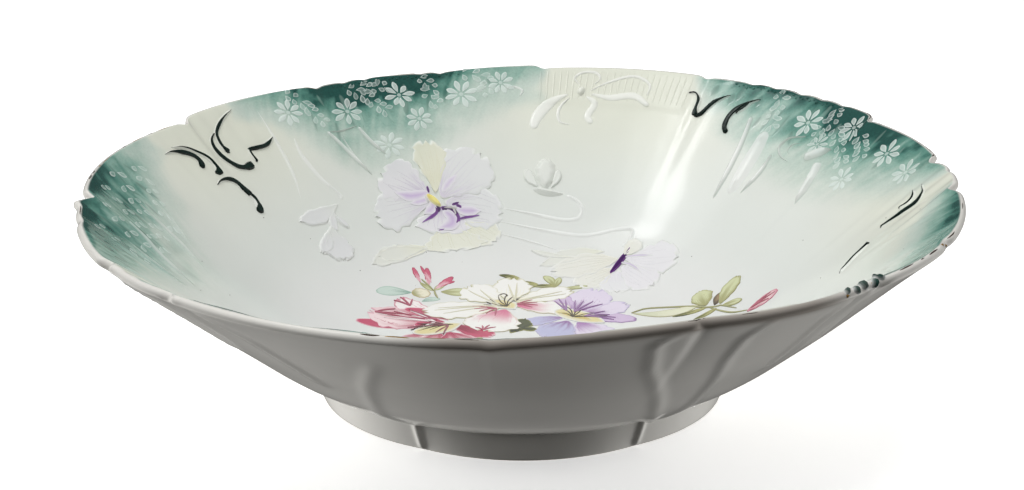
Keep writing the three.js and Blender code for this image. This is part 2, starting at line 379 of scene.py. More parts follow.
FANS = (
    Fan(75, 12.5, 0, fluted=True), Fan(147, 11, 95), Fan(3, 10, 120), Fan(-69, 12.5, 0, fluted=True),
    Fan(-138, 8, 95),
)
GREEN_LOBES = (
    GreenLobe((
        (86, 116, 0.45), (93, 110, 0.62), (101, 104, 0.82), (109, 95, 1.1), (116, 91, 1.15), (124, 95, 1.15),
        (130, 107, 0.8), (135, 116, 0.55), (141, 123, 0.3),
    )),
    GreenLobe((
        (4, 117, 0.35), (11, 109, 0.7), (18, 103, 0.95), (27, 99, 1.1), (37, 99, 1.15), (45, 101, 1.15),
        (53, 109, 1.1), (59, 117, 0.8), (64, 125, 0.35),
    )),
    GreenLobe(((-45, 113, 1.0), (-36, 107, 1.0), (-25, 105, 1.0), (-14, 106, 0.95), (-5, 112, 0.8),
        (0, 121, 0.35))),
    GreenLobe((
        (158, 124, 0.25), (165, 104, 0.5), (171, 92, 0.8), (178, 84, 0.95), (186, 84, 1.0), (195, 90, 1.05),
        (203, 99, 0.95), (212, 112, 0.45),
    )),
    GreenLobe((
        (-141, 122, 0.3), (-134, 112, 0.6), (-126, 103, 0.9), (-116, 97, 1.1), (-104, 95, 1.15),
        (-94, 99, 1.05),
        (-86, 107, 0.75), (-79, 118, 0.35),
    )),
)
OUTER_CREASES = (
    Crease((66, 76, 100, 116), (-115, -120, -114, -109), 2.4, 0.5),
    Crease((66, 83, 112, 125, 131), (-58, -64, -72.5, -74, -71), 2.0, 0.7),
    Crease((66, 83, 95, 112, 123, 131), (-57, -56, -58, -61, -61.5, -59), 2.0, 0.7),
    Crease((98, 124, 132), (-47, -48.5, -47), 2.2, 0.8),
    Crease((104, 122, 132), (-40, -41.5, -41), 2.0, 0.6),
    Crease((96, 118, 131), (-124, -127, -131), 2.4, 0.7),
    Crease((104, 122, 132), (-138, -141, -146), 2.2, 0.7),
    Crease((66, 80, 104, 126), (2, -2, 3, 9), 2.2, 0.55),
    Crease((66, 80, 104, 126), (62, 57, 63, 68), 2.2, 0.55),
    Crease((66, 80, 104, 126), (122, 117, 123, 128), 2.2, 0.55),
    Crease((66, 80, 104, 126), (182, 177, 183, 188), 2.2, 0.55),
)


# ---- Colours of the ground and of the finishes ----------------------------------------------------


def blend(under: Array, over: Colour | Array, cover: Array) -> Array:
    """Lays a colour over others with a cover from 0 to 1."""
    return under + np.asarray(cover)[..., None] * (np.asarray(over) - under)


@dataclass(frozen=True)
class Ground:
    """The shaded ground under the decoration, as linear colours."""

    well: Colour = linear(231, 232, 230)
    cove: Colour = linear(226, 230, 225)
    cream: Colour = linear(229, 231, 216)
    mint: Colour = linear(202, 215, 205)
    sea: Colour = linear(150, 184, 171)
    teal: Colour = linear(82, 137, 124)
    deep: Colour = linear(18, 76, 69)
    bare: Colour = linear(229, 227, 221)
    # Brownish band over the lip's front: worn gilding, made darker as painted shade where the lip faces away
    # from the light.
    worn_and_shade: Colour = linear(124, 112, 102)
    worn_and_shade_centre: float = -76.0
    worn_and_shade_half: float = 27.0

    def green(self, azimuth: Array, station: Array) -> Array:
        """How deep the green is, from 0 on bare glaze to 1 in the darkest blotches."""
        broad, fine, streak = Mottle(5, 52, 5.0), Mottle(9, 240, 2.2), Mottle(12, 520, 9.0)
        patchy = 0.55 * broad.at(azimuth, station) + 0.3 * fine.at(azimuth, station)
        patchy += 0.35 * streak.at(azimuth + 0.25 * station, station)
        drift = 1.3 * broad.at(azimuth + 90, station)
        depth = np.zeros_like(station)
        for lobe in GREEN_LOBES:
            depth = np.maximum(depth, lobe.depth(azimuth + drift, station))
        return np.clip(depth + 0.5 * patchy * depth, 0, 1)

    def colour(self, azimuth: Array, station: Array) -> Array:
        """The ground's colour on the inner surface."""
        shade = np.broadcast_to(np.asarray(self.well), station.shape + (3,)).copy()
        shade = blend(shade, self.cove, ease(station, 62, 92))
        warm = np.zeros_like(station)
        for fan in FANS:
            off = np.abs(turned_by(azimuth, fan.centre))
            warm = np.maximum(warm, 1 - ease(off, fan.half_width - 4, fan.half_width + 16))
        shade = blend(shade, self.cream, (0.35 + 0.6 * warm) * ease(station, 84, 124))
        depth = self.green(azimuth, station)
        for tint, start, end in (
            (self.mint, 0.0, 0.26), (self.sea, 0.18, 0.56), (self.teal, 0.46, 0.84), (self.deep, 0.76, 1.0),
        ):
            shade = blend(shade, tint, ease(depth, start, end))
        return shade

    def around(self, azimuth: Array, station: Array, form: BowlForm) -> Array:
        """The colour all round the section: painted inside the crest, bare glaze outside it, and over the
        lip's front a brownish band of worn gilding made darker still as painted shade.
        """
        inside = self.colour(azimuth, np.minimum(station, form.crest))
        shade = blend(inside, self.bare, ease(station, form.crest - 0.5, form.crest))
        # Band over the lip's front: part worn gilding, part painted shade.
        front = 1 - ease(np.abs(turned_by(azimuth, self.worn_and_shade_centre)), self.worn_and_shade_half - 6,
            self.worn_and_shade_half + 4)
        band = ease(station, form.crest - 0.7, form.crest + 0.3)
        band = band * (1 - ease(station, form.lip_end, form.lip_end + 2.5))
        return blend(shade, self.worn_and_shade, 0.72 * front * band)


@dataclass(frozen=True)
class Glaze:
    """Clear gloss glaze over whatever the piece's Paint attribute says."""

    name: str
    roughness: float = 0.16
    coat_roughness: float = 0.05
    coat: float = 0.25
    gloss: float = 0.5
    ripple: float = 0.1
    ripple_scale: float = 55.0
    mottle: float = 0.035
    metallic: float = 0.0
    grain_scale: float = 1300.0

    def material(self) -> bpy.types.Material:
        """Builds the finish's material."""
        made = bpy.data.materials.new(self.name)
        made.use_nodes = True
        nodes, links = made.node_tree.nodes, made.node_tree.links
        shader = nodes["Principled BSDF"]
        shader.inputs["Roughness"].default_value = self.roughness
        shader.inputs["Metallic"].default_value = self.metallic
        shader.inputs["IOR"].default_value = 1.5
        shader.inputs["Specular IOR Level"].default_value = self.gloss
        shader.inputs["Coat Weight"].default_value = self.coat
        shader.inputs["Coat Roughness"].default_value = self.coat_roughness
        paint = nodes.new("ShaderNodeAttribute")
        paint.attribute_name = "Paint"
        place = nodes.new("ShaderNodeTexCoord")
        cloud = nodes.new("ShaderNodeTexNoise")
        cloud.inputs["Scale"].default_value = 38.0
        cloud.inputs["Detail"].default_value = 5.0
        spread = nodes.new("ShaderNodeMapRange")
        spread.inputs["To Min"].default_value = 1 - self.mottle
        spread.inputs["To Max"].default_value = 1 + self.mottle
        tinted = nodes.new("ShaderNodeVectorMath")
        tinted.operation = "SCALE"
        swell = nodes.new("ShaderNodeTexNoise")
        swell.inputs["Scale"].default_value = self.ripple_scale
        swell.inputs["Detail"].default_value = 2.0
        bump = nodes.new("ShaderNodeBump")
        bump.inputs["Strength"].default_value = self.ripple
        bump.inputs["Distance"].default_value = 0.0012
        speck = nodes.new("ShaderNodeTexNoise")
        speck.inputs["Scale"].default_value = self.grain_scale
        speck.inputs["Detail"].default_value = 3.0
        centred = nodes.new("ShaderNodeMath")
        centred.operation = "SUBTRACT"
        centred.inputs[1].default_value = 0.5
        grain = nodes.new("ShaderNodeMath")
        grain.operation = "MULTIPLY_ADD"
        for noise in (cloud, swell, speck):
            links.new(place.outputs["Object"], noise.inputs["Vector"])
        links.new(speck.outputs["Fac"], centred.inputs[0])
        links.new(centred.outputs["Value"], grain.inputs[0])
        links.new(paint.outputs["Alpha"], grain.inputs[1])
        links.new(spread.outputs["Result"], grain.inputs[2])
        links.new(cloud.outputs["Fac"], spread.inputs["Value"])
        links.new(paint.outputs["Color"], tinted.inputs[0])
        links.new(grain.outputs["Value"], tinted.inputs["Scale"])
        links.new(tinted.outputs["Vector"], shader.inputs["Base Color"])
        links.new(swell.outputs["Fac"], bump.inputs["Height"])
        links.new(bump.outputs["Normal"], shader.inputs["Normal"])
        return made


class Finish(Enum):
    """The bowl's finishes."""

    GLAZE = Glaze("clear_glaze")
    UNGLAZED = Glaze("ground_foot_edge", roughness=0.62, coat=0.0, ripple=0.3, ripple_scale=900.0,
        mottle=0.06)
    ENAMEL = Glaze("scroll_green_enamel", roughness=0.2, coat=0.1, gloss=0.3, ripple=0.12,
        ripple_scale=420.0, mottle=0.2)
    FLOWERS = Glaze("flower_enamels", roughness=0.24, coat=0.05, gloss=0.35, ripple=0.06,
        ripple_scale=260.0, mottle=0.03)
    GILT = Glaze("worn_gilt", roughness=0.3, coat=0.0, ripple=0.3, ripple_scale=700.0, mottle=0.3,
        metallic=0.85)


class Workshop:
    """Makes meshes, paints them and hands them to the frame."""

    crease_angle = 50.0

    def __init__(self, form: BowlForm, ground: Ground) -> None:
        """Keeps the form and ground, and builds one material for each finish."""
        self.form = form
        self.ground = ground
        self.materials = {finish: finish.value.material() for finish in Finish}

    def mesh(
        self, name: str, points: Array, faces: list | Array, paint: Array, grain: Array | float = 0.0
    ) -> bpy.types.Object:
        """Builds a smooth mesh object with a Paint attribute.

        Args:
            name: Name of the piece.
            points: Vertices in millimetres.
            faces: Vertex numbers of each face.
            paint: Linear colour of each vertex.
            grain: How strongly each vertex's colour is speckled.

        Returns:
            The new object, linked to the scene.
        """
        data = bpy.data.meshes.new(name)
        data.from_pydata((points.reshape(-1, 3) * TO_METRES).tolist(), [], np.asarray(faces).tolist())
        data.shade_smooth()
        data.set_sharp_from_angle(angle=np.radians(self.crease_angle))
        self.colour(data, paint.reshape(-1, 3), grain)
        made = bpy.data.objects.new(name, data)
        bpy.context.scene.collection.objects.link(made)
        return made

    def colour(self, data: bpy.types.Mesh, paint: Array, grain: Array | float = 0.0) -> None:
        """Writes linear colours, with the grain as their fourth channel, to the mesh's Paint attribute."""
        layer = data.color_attributes.new("Paint", "FLOAT_COLOR", "POINT")
        strength = np.broadcast_to(np.asarray(grain, float).reshape(-1, 1), (len(paint), 1))
        flat = np.concatenate([paint, strength], axis=1)
        layer.data.foreach_set("color", flat.astype(np.float32).ravel())

    def hand_over(
        self, piece: bpy.types.Object, finish: Finish, slot: Slot, stands_for: tuple[str, ...] = ()
    ) -> bpy.types.Object:
        """Gives a piece its material and tells the frame what it is.

        Args:
            piece: The finished object.
            finish: The finish it is given, if it has none yet.
            slot: The record's slot; not used.
            stands_for: The frame's nodes that it replaces.

        Returns:
            The same object.
        """
        if not piece.data.materials:
            piece.data.materials.append(self.materials[finish])
        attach(piece, BODY)
        if stands_for:
            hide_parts(*stands_for)
        LOG.info("%s: %d faces", piece.name, len(piece.data.polygons))
        return piece


def sheet_faces(rows: int, columns: int, wrap: bool = False) -> Array:
    """Quads of a grid of rows by columns, facing the side where rows cross columns.

    Args:
        rows: Points along the first direction.
        columns: Points along the second direction.
        wrap: Whether the second direction closes on itself.

    Returns:
        Vertex numbers, four to a row.
    """
    last = columns if wrap else columns - 1
    i, j = np.meshgrid(np.arange(rows - 1), np.arange(last), indexing="ij")
    k = (j + 1) % columns
    a, b = i * columns + j, i * columns + k
    c, d = (i + 1) * columns + k, (i + 1) * columns + j
    return np.stack([a, b, c, d], axis=-1).reshape(-1, 4)


# ---- Structural pieces ---------------------------------------------------------------------------


@dataclass
class Shell:
    """The pressed shell: floor, flared wall, rounded lip and outside."""

    shop: Workshop
    columns: int = 700
    floor_rings: int = 8
    cove_rings: int = 24
    wall_rings: int = 40
    lip_rings: int = 15
    outer_rings: int = 40

    def stations(self) -> Array:
        """Stations of the rings from the floor's middle over the lip to the seat outside."""
        form = self.shop.form
        outer_end = form.lip_start + form.lip_end - form.seat_outer - 0.2
        return np.concatenate([
            np.linspace(2, form.floor_reach - 2, self.floor_rings, endpoint=False),
            np.linspace(form.floor_reach - 2, form.cove_end, self.cove_rings, endpoint=False),
            np.linspace(form.cove_end, form.lip_start, self.wall_rings, endpoint=False),
            np.linspace(form.lip_start, form.lip_end, self.lip_rings, endpoint=False),
            np.linspace(form.lip_end, outer_end, self.outer_rings),
        ])

    def build(self) -> bpy.types.Object:
        """Builds the shell as one closed body and replaces the frame's."""
        form = self.shop.form
        azimuth = np.linspace(0, FULL_TURN, self.columns, endpoint=False)
        stations = self.stations()
        a, s = np.meshgrid(azimuth, stations)
        upper = form.on(a, s)
        paint = self.shop.ground.around(a, s, form)
        green = self.shop.ground.green(a, s) * (s < form.crest)
        under = np.array([[form.seat_outer, form.seat_outer_height], [60.5, 7.9],
            [form.seat_inner, form.recess_top],
                          [50, form.recess_top], [30, form.recess_top], [2, form.recess_top]])
        a, r = np.meshgrid(azimuth, under[:, 0])
        lower = form.place(a, r, np.broadcast_to(under[:, 1:2], a.shape))
        paint_under = np.broadcast_to(np.asarray(self.shop.ground.bare), lower.shape)
        rings = len(stations) + len(under)
        points = np.concatenate([upper, lower]).reshape(-1, 3)
        colours = np.concatenate([paint, paint_under]).reshape(-1, 3)
        faces = sheet_faces(rings, self.columns, wrap=True)[:, ::-1].tolist()
        last = (rings - 1) * self.columns
        faces.append(list(range(self.columns)))
        faces.append(list(range(last, last + self.columns))[::-1])
        grain = 0.02 + 0.75 * np.concatenate([green.ravel(), np.zeros(lower[..., 0].size)])
        piece = self.shop.mesh("bowl_shell_glazed", points, np.array(faces, dtype=object), colours, grain)
        return self.shop.hand_over(piece, Finish.GLAZE, Slot.SHELL, ("bowl_shell",))


@dataclass
class FootRing:
    """The six-lobed foot ring, with a ridge at each seam and a ground edge to stand on."""

    shop: Workshop
    outer: float = 62.5
    top_inner: float = 56.3
    top_outer: float = 65.5
    seam: float = 2.5
    lobes: int = 6
    lobe_depth: float = 1.2
    ridge: float = 0.9
    ridge_width: float = 1.1
    ridge_reach: float = 64.0
    height: float = 9.8
    resting_rows: tuple[int, ...] = (6, 7, 8)
    columns: int = 720

    def profile(self) -> Array:
        """Reach and height round the ring's section, from its inner top, down, and up the outside."""
        return np.array([
            [self.top_inner, 6.3], [56.8, 4.2], [57.1, 2.2], [57.3, 0.9], [57.45, 0.35], [57.8, 0.08],
            [58.2, 0.0], [59.2, 0.0], [60.6, 0.0], [61.6, 0.0], [62.1, 0.08], [self.outer, 0.4],
            [62.75, 1.0],
            [63.2, 2.4], [63.8, 4.2], [64.4, 6.2], [64.9, 7.9], [65.25, 9.0], [self.top_outer, 9.62],
            [65.2, 9.75], [62.0, 8.4],
        ])

    def build(self) -> bpy.types.Object:
        """Builds the ring and replaces the frame's."""
        profile = self.profile()
        azimuth = np.linspace(0, FULL_TURN, self.columns, endpoint=False)
        a, r = np.meshgrid(azimuth, profile[:, 0])
        z = np.broadcast_to(profile[:, 1:2], a.shape)
        per_lobe = FULL_TURN / self.lobes
        off = (a - self.seam + per_lobe / 2) % per_lobe - per_lobe / 2
        swell = np.abs(np.sin(np.radians((a - self.seam) * self.lobes / 2)))
        pinch = self.lobe_depth * (1 - swell) * (1 - z / self.height)
        ridge = self.ridge * np.exp(-((np.radians(off) * self.ridge_reach / self.ridge_width) ** 2))
        outside = ease(r - 57, 4.5, 5.4) * ease(z, 0.0, 1.2)
        r = r - pinch + ridge * outside
        points = np.stack([r * np.cos(np.radians(a)), r * np.sin(np.radians(a)), z], axis=-1)
        bare = np.asarray(self.shop.ground.bare)
        paint = blend(np.broadcast_to(bare, points.shape), linear(196, 188, 176), 1 - ease(z, 0.02, 0.5))
        faces = sheet_faces(len(profile) + 1, self.columns, wrap=True) % (len(profile) * self.columns)
        piece = self.shop.mesh("foot_ring_glazed", points, faces[:, ::-1], paint)
        piece.data.materials.append(self.shop.materials[Finish.GLAZE])
        piece.data.materials.append(self.shop.materials[Finish.UNGLAZED])
        standing = np.repeat(np.arange(len(profile)), self.columns)
        on_edge = np.isin(standing, self.resting_rows).astype(np.int32)
        piece.data.polygons.foreach_set("material_index", on_edge)
        return self.shop.hand_over(piece, Finish.GLAZE, Slot.FOOT, ("foot_ring",))


# ---- Sheets that lie on the glaze ------------------------------------------------------------------


Point = tuple[float, float]


def smooth_line(points: tuple[Point, ...], count: int) -> Array:
    """Evenly spaced points on a smooth line through a few chosen ones.

    Args:
        points: The chosen points.
        count: How many points are wanted.

    Returns:
        The points, one to a row.
    """
    chosen = np.asarray(points, float)
    padded = np.concatenate([[2 * chosen[0] - chosen[1]], chosen, [2 * chosen[-1] - chosen[-2]]])
    t = np.linspace(0, len(chosen) - 1, 24 * len(chosen))
    i = np.minimum(t.astype(int), len(chosen) - 2)
    f = (t - i)[:, None]
    a, b, c, d = padded[i], padded[i + 1], padded[i + 2], padded[i + 3]
    line = b + 0.5 * f * (c - a + f * (2 * a - 5 * b + 4 * c - d + f * (3 * (b - c) + d - a)))
    travelled = np.concatenate([[0], np.cumsum(np.hypot(*np.diff(line, axis=0).T))])
    wanted = np.linspace(0, travelled[-1], count)
    return np.stack([np.interp(wanted, travelled, line[:, k]) for k in (0, 1)], axis=-1)


@dataclass(frozen=True)
class Sheet:
    """A grid of flat places, with how far each is along the sheet (0 to 1) and across it (-1 to 1)."""

    across: Array
    up: Array
    along: Array
    side: Array
    margin: Array


@dataclass(frozen=True)
class Blade:
    """A petal or leaf about a midrib, with its half width and where it is fullest."""

    root: Point
    tip: Point
    half_width: float
    bend: float = 0.0
    full: float = 0.6
    ruffle: float = 0.0
    waves: float = 4.0
    roundness: float = 0.62
    rows: int = 25
    columns: int = 13

    def sheet(self) -> Sheet:
        """The blade's grid, with its margin as the distance from the edge in millimetres."""
        t = 0.02 + 0.96 * (0.5 - 0.5 * np.cos(np.linspace(0, np.pi, self.rows)))
        s = np.sin(np.linspace(-np.pi / 2, np.pi / 2, self.columns))
        along, side = np.meshgrid(t, s, indexing="ij")
        root, tip = np.array(self.root), np.array(self.tip)
        run = tip - root
        length = np.hypot(*run)
        right = np.array([run[1], -run[0]]) / length
        swell = np.sin(np.pi * along ** (np.log(0.5) / np.log(self.full))) ** self.roundness
        turns = 2 * np.pi * self.waves * along
        wave = 1 + self.ruffle * (np.sin(turns + 2 * side) + 0.5 * np.sin(2.6 * turns + 3 * side))
        crimp = 1 + 0.5 * self.ruffle * (np.cos(self.waves * 1.5 * side) - 0.6) * along**3
        bow = self.bend * length * 4 * along * (1 - along)
        half = self.half_width * swell * wave
        offset = bow + half * side
        across = root[0] + run[0] * along * crimp + right[0] * offset
        up = root[1] + run[1] * along * crimp + right[1] * offset
        margin = np.minimum(half * (1 - np.abs(side)), 0.7 * length * np.minimum(0.98 - along,
            1.5 * (along - 0.02)))
        return Sheet(across, up, along, side, margin)


@dataclass(frozen=True)
class Strand:
    """A drawn or moulded line of a given width, with its ends' widths as shares of it."""

    line: tuple[Point, ...]
    width: float
    start: float = 0.35
    end: float = 0.35
    blob: float = 0.0
    rows: int = 29
    columns: int = 7

    def sheet(self, flat_line: Array) -> Sheet:
        """The strand's grid along a line of flat places."""
        t = np.linspace(0, 1, len(flat_line))
        step = np.gradient(flat_line, axis=0)
        step /= np.hypot(step[:, 0], step[:, 1])[:, None]
        length = np.hypot(*np.diff(flat_line, axis=0).T).sum()
        body = np.interp(t, (0, 0.35, 0.65, 1), (self.start, 1, 1, self.end))
        cap = max(self.width / length, 0.03)
        near_end = np.clip((np.abs(2 * t - 1) - 1 + cap) / cap, 0, 0.97)
        spot = self.blob * np.exp(-(((1 - t) * length / max(self.width, 0.8) - 0.9) ** 2))
        half = (self.width / 2 * body + spot) * np.sqrt(1 - near_end**2)
        s = np.sin(np.linspace(-np.pi / 2, np.pi / 2, self.columns))
        across = flat_line[:, :1] + (half * step[:, 1])[:, None] * s
        up = flat_line[:, 1:] - (half * step[:, 0])[:, None] * s
        along = np.broadcast_to(t[:, None], across.shape)
        side = np.broadcast_to(s, across.shape)
        ends = np.minimum(t, 1 - t)[:, None] * length
        margin = np.minimum(half[:, None] * (1 - np.abs(side)), ends + 0.05)
        return Sheet(across, up, along, side, margin)


@dataclass(frozen=True)
class WallSpot:
    """A place on the wall with a flat measure about it: right along the rim, and up the wall."""

    form: BowlForm
    azimuth: float
    station: float
    turn: float = 0.0
    size: float = 1.0

    @property
    def rise(self) -> float:
        """Length up the wall per unit of station here."""
        return float(np.hypot(1, self.form.floor(np.array(self.station))[1]))

    def flat(self, azimuth: Array, station: Array) -> Array:
        """Flat places of azimuths and stations."""
        across = -np.radians(turned_by(azimuth, self.azimuth)) * station
        return np.stack([across, (station - self.station) * self.rise], axis=-1)

    def spread(self, across: Array, up: Array) -> tuple[Array, Array]:
        """Azimuths and stations of flat places."""
        lean = np.radians(self.turn)
        x = self.size * (across * np.cos(lean) + up * np.sin(lean))
        y = self.size * (up * np.cos(lean) - across * np.sin(lean))
        station = self.station + y / self.rise
        return self.azimuth - np.degrees(x / station), station


@dataclass(frozen=True)
class WellSpot:
    """The middle of the well with a flat measure about it: along +X, and along +Y."""

    def flat(self, x: Array, y: Array) -> Array:
        """Flat places of points of the well."""
        return np.stack([x, y], axis=-1)

    def spread(self, across: Array, up: Array) -> tuple[Array, Array]:
        """Azimuths and stations of flat places."""
        return np.degrees(np.arctan2(up, across)), np.hypot(across, up)


Spot = WallSpot | WellSpot


@dataclass(frozen=True)
class Tint:
    """A sheet's colours: at its root and along its veins, over its body, and at its edge."""

    root: Colour
    body: Colour
    edge: Colour
    cover: float = 1.0
    root_reach: float = 0.5
    veins: float = 0.0
    edge_width: float = 1.0
    feather: float = 0.0

    def over(self, ground: Array, sheet: Sheet) -> Array:
        """The tint laid over the ground's colours."""
        ribs = 0.5 + 0.5 * np.cos(2 * np.pi * self.veins * sheet.side + 0.6)
        reach = self.root_reach * (0.45 + 0.75 * ribs if self.veins else 1.0)
        from_root = 1 - ease(sheet.along, 0.15 * reach, reach + 0.02)
        colour = blend(np.broadcast_to(np.asarray(self.body), ground.shape), self.root, from_root)
        colour = blend(colour, self.edge, 1 - ease(sheet.margin, 0, self.edge_width))
        cover = self.cover * np.ones_like(sheet.margin)
        if self.feather:
            cover = cover * ease(sheet.margin, 0, self.feather)
        return blend(ground, colour, cover)


@dataclass(frozen=True)
class Relief:
    """How a sheet stands off the glaze: its body, and a raised line just inside its edge."""

    body: float = 0.05
    line: float = 0.0
    line_width: float = 0.5
    ramp: float = 0.8
    edge: float = 0.0
    settle: float = 0.0

    def lift(self, sheet: Sheet) -> Array:
        """The sheet's lift in millimetres."""
        rise = ease(sheet.margin, 0, self.ramp)
        bump = self.line * np.exp(-(((sheet.margin - self.line_width) / self.line_width) ** 2) * 1.5)
        lift = self.edge + rise * (self.body - self.edge) + bump
        return np.where(sheet.margin < 1e-6, self.edge, lift)


PRINT = Relief(body=0.05, edge=0.03, ramp=0.2)
ENAMEL = Relief(body=0.3, edge=-0.02, ramp=0.45)
FLUSH = Relief(body=0.035, edge=0.0, ramp=0.5)
PETAL = Relief(body=0.12, line=0.2, line_width=0.42, ramp=0.6, edge=-0.02, settle=1.0)
SINK = -0.35
HAIR_LIFT = 0.004


class Sprigs:
    """Gathers closed sheets that lie on the glaze, to be made one piece."""

    def __init__(self, shop: Workshop, name: str) -> None:
        """Starts with nothing laid."""
        self.shop = shop
        self.name = name
        self.points: list[Array] = []
        self.faces: list[Array] = []
        self.paint: list[Array] = []
        self.count = 0
        self.layer = 0.0

    def lay(self, spot: Spot, sheet: Sheet, tint: Tint, relief: Relief) -> None:
        """Lays one sheet.

        Args:
            spot: Where its flat measure sits on the bowl.
            sheet: Its grid.
            tint: Its colours.
            relief: How it stands off the glaze.
        """
        form = self.shop.form
        azimuth, station = spot.spread(sheet.across, sheet.up)
        layer = self.layer * (ease(sheet.margin, 0, relief.settle) if relief.settle else 1.0)
        top = form.on(azimuth, station, relief.lift(sheet) + layer)
        back = form.on(azimuth, station, SINK)
        paint = tint.over(self.shop.ground.colour(azimuth, station), sheet)
        rows, columns = azimuth.shape
        size = rows * columns
        grid = np.arange(size).reshape(rows, columns)
        rim = np.concatenate([grid[0], grid[1:, -1], grid[-1, -2::-1], grid[-2:0:-1, 0]])
        after = np.roll(rim, -1)
        walls = np.stack([after, rim, rim + size, after + size], axis=-1)
        upper = sheet_faces(rows, columns)
        lower = upper[:, ::-1] + size
        self.faces.append(np.concatenate([upper, lower, walls]) + self.count)
        self.points.append(np.concatenate([top.reshape(-1, 3), back.reshape(-1, 3)]))
        self.paint.append(np.tile(paint.reshape(-1, 3), (2, 1)))
        self.count += 2 * size

    def blade(self, spot: Spot, blade: Blade, tint: Tint, relief: Relief = PRINT) -> None:
        """Lays a petal or leaf."""
        self.lay(spot, blade.sheet(), tint, relief)

    def hairlines(
        self, spot: Spot, blade: Blade, tint: Tint, share: float, count: int, base: float = 0.0
    ) -> None:
        """Draws fine brushed lines up a petal from its root, a little above it.

        Args:
            spot: Where the petal's flat measure sits.
            blade: The petal.
            tint: The petal's colours.
            share: How far the lines go from the body's colour to the root's.
            count: How many are drawn.
            base: How far the petal's body stands off its layer.
        """
        random = np.random.default_rng(int(97 * abs(blade.tip[0]) + 31 * abs(blade.tip[1])))
        sheet = blade.sheet()
        self.layer += base + HAIR_LIFT
        rows = len(sheet.across)
        for side in np.linspace(-0.78, 0.78, count):
            first, last = random.integers(2, 5), random.integers(rows // 2, int(rows * 0.84))
            column = np.interp(side + random.uniform(-0.04, 0.04), sheet.side[0], np.arange(blade.columns))
            line = [
                [np.interp(column, np.arange(blade.columns), grid[row]) for grid in (sheet.across, sheet.up)]
                for row in (first, (first + last) // 2, last)
            ]
            hair = Strand(tuple(map(tuple, line)), random.uniform(0.25, 0.5), 0.9, 0.1, rows=9, columns=5)
            deep = share * random.uniform(0.5, 1.3)
            mixed = tuple((1 - deep) * body + deep * root for body, root in zip(tint.body, tint.root))
            self.flat_strand(spot, hair, plain(mixed, tint.cover))
        self.layer -= base + HAIR_LIFT

    def strand(self, strand: Strand, tint: Tint, relief: Relief = ENAMEL) -> None:
        """Lays a strand whose line is given as azimuths and stations."""
        line = smooth_line(strand.line, strand.rows)
        middle = line.mean(axis=0)
        spot = WallSpot(self.shop.form, *middle)
        self.lay(spot, strand.sheet(spot.flat(line[:, 0], line[:, 1])), tint, relief)

    def flat_strand(self, spot: Spot, strand: Strand, tint: Tint, relief: Relief = PRINT) -> None:
        """Lays a strand whose line is given in a spot's flat measure."""
        self.lay(spot, strand.sheet(smooth_line(strand.line, strand.rows)), tint, relief)

    def finish(self, finish: Finish, slot: Slot, *stands_for: str) -> bpy.types.Object:
        """Makes the piece and hands it over."""
        points, faces, paint = map(np.concatenate, (self.points, self.faces, self.paint))
        piece = self.shop.mesh(self.name, points, faces, paint)
        return self.shop.hand_over(piece, finish, slot, stands_for)


def plain(colour: Colour, cover: float = 1.0, feather: float = 0.0) -> Tint:
    """A tint of one colour."""
    return Tint(colour, colour, colour, cover=cover, feather=feather)


PALE = linear(236, 238, 233)
RAISED = plain(PALE, 0.35)
# Near-white used as a painted highlight on raised petal edges, fold crests, ridges and beads.
PAINTED_HIGHLIGHT = linear(252, 253, 251)
# White down a fold's crest and grey-green at its edges: painted highlight and painted shade.
CREST_HIGHLIGHT_EDGE_SHADE = Tint(PAINTED_HIGHLIGHT, PAINTED_HIGHLIGHT, linear(184, 202, 192), 0.55, edge_width=0.8, feather=0.4)
# Painted highlight laid along moulded ridges.
RIDGE_HIGHLIGHT = plain(PAINTED_HIGHLIGHT, 0.5, feather=0.35)


# ---- Moulded relief --------------------------------------------------------------------------------


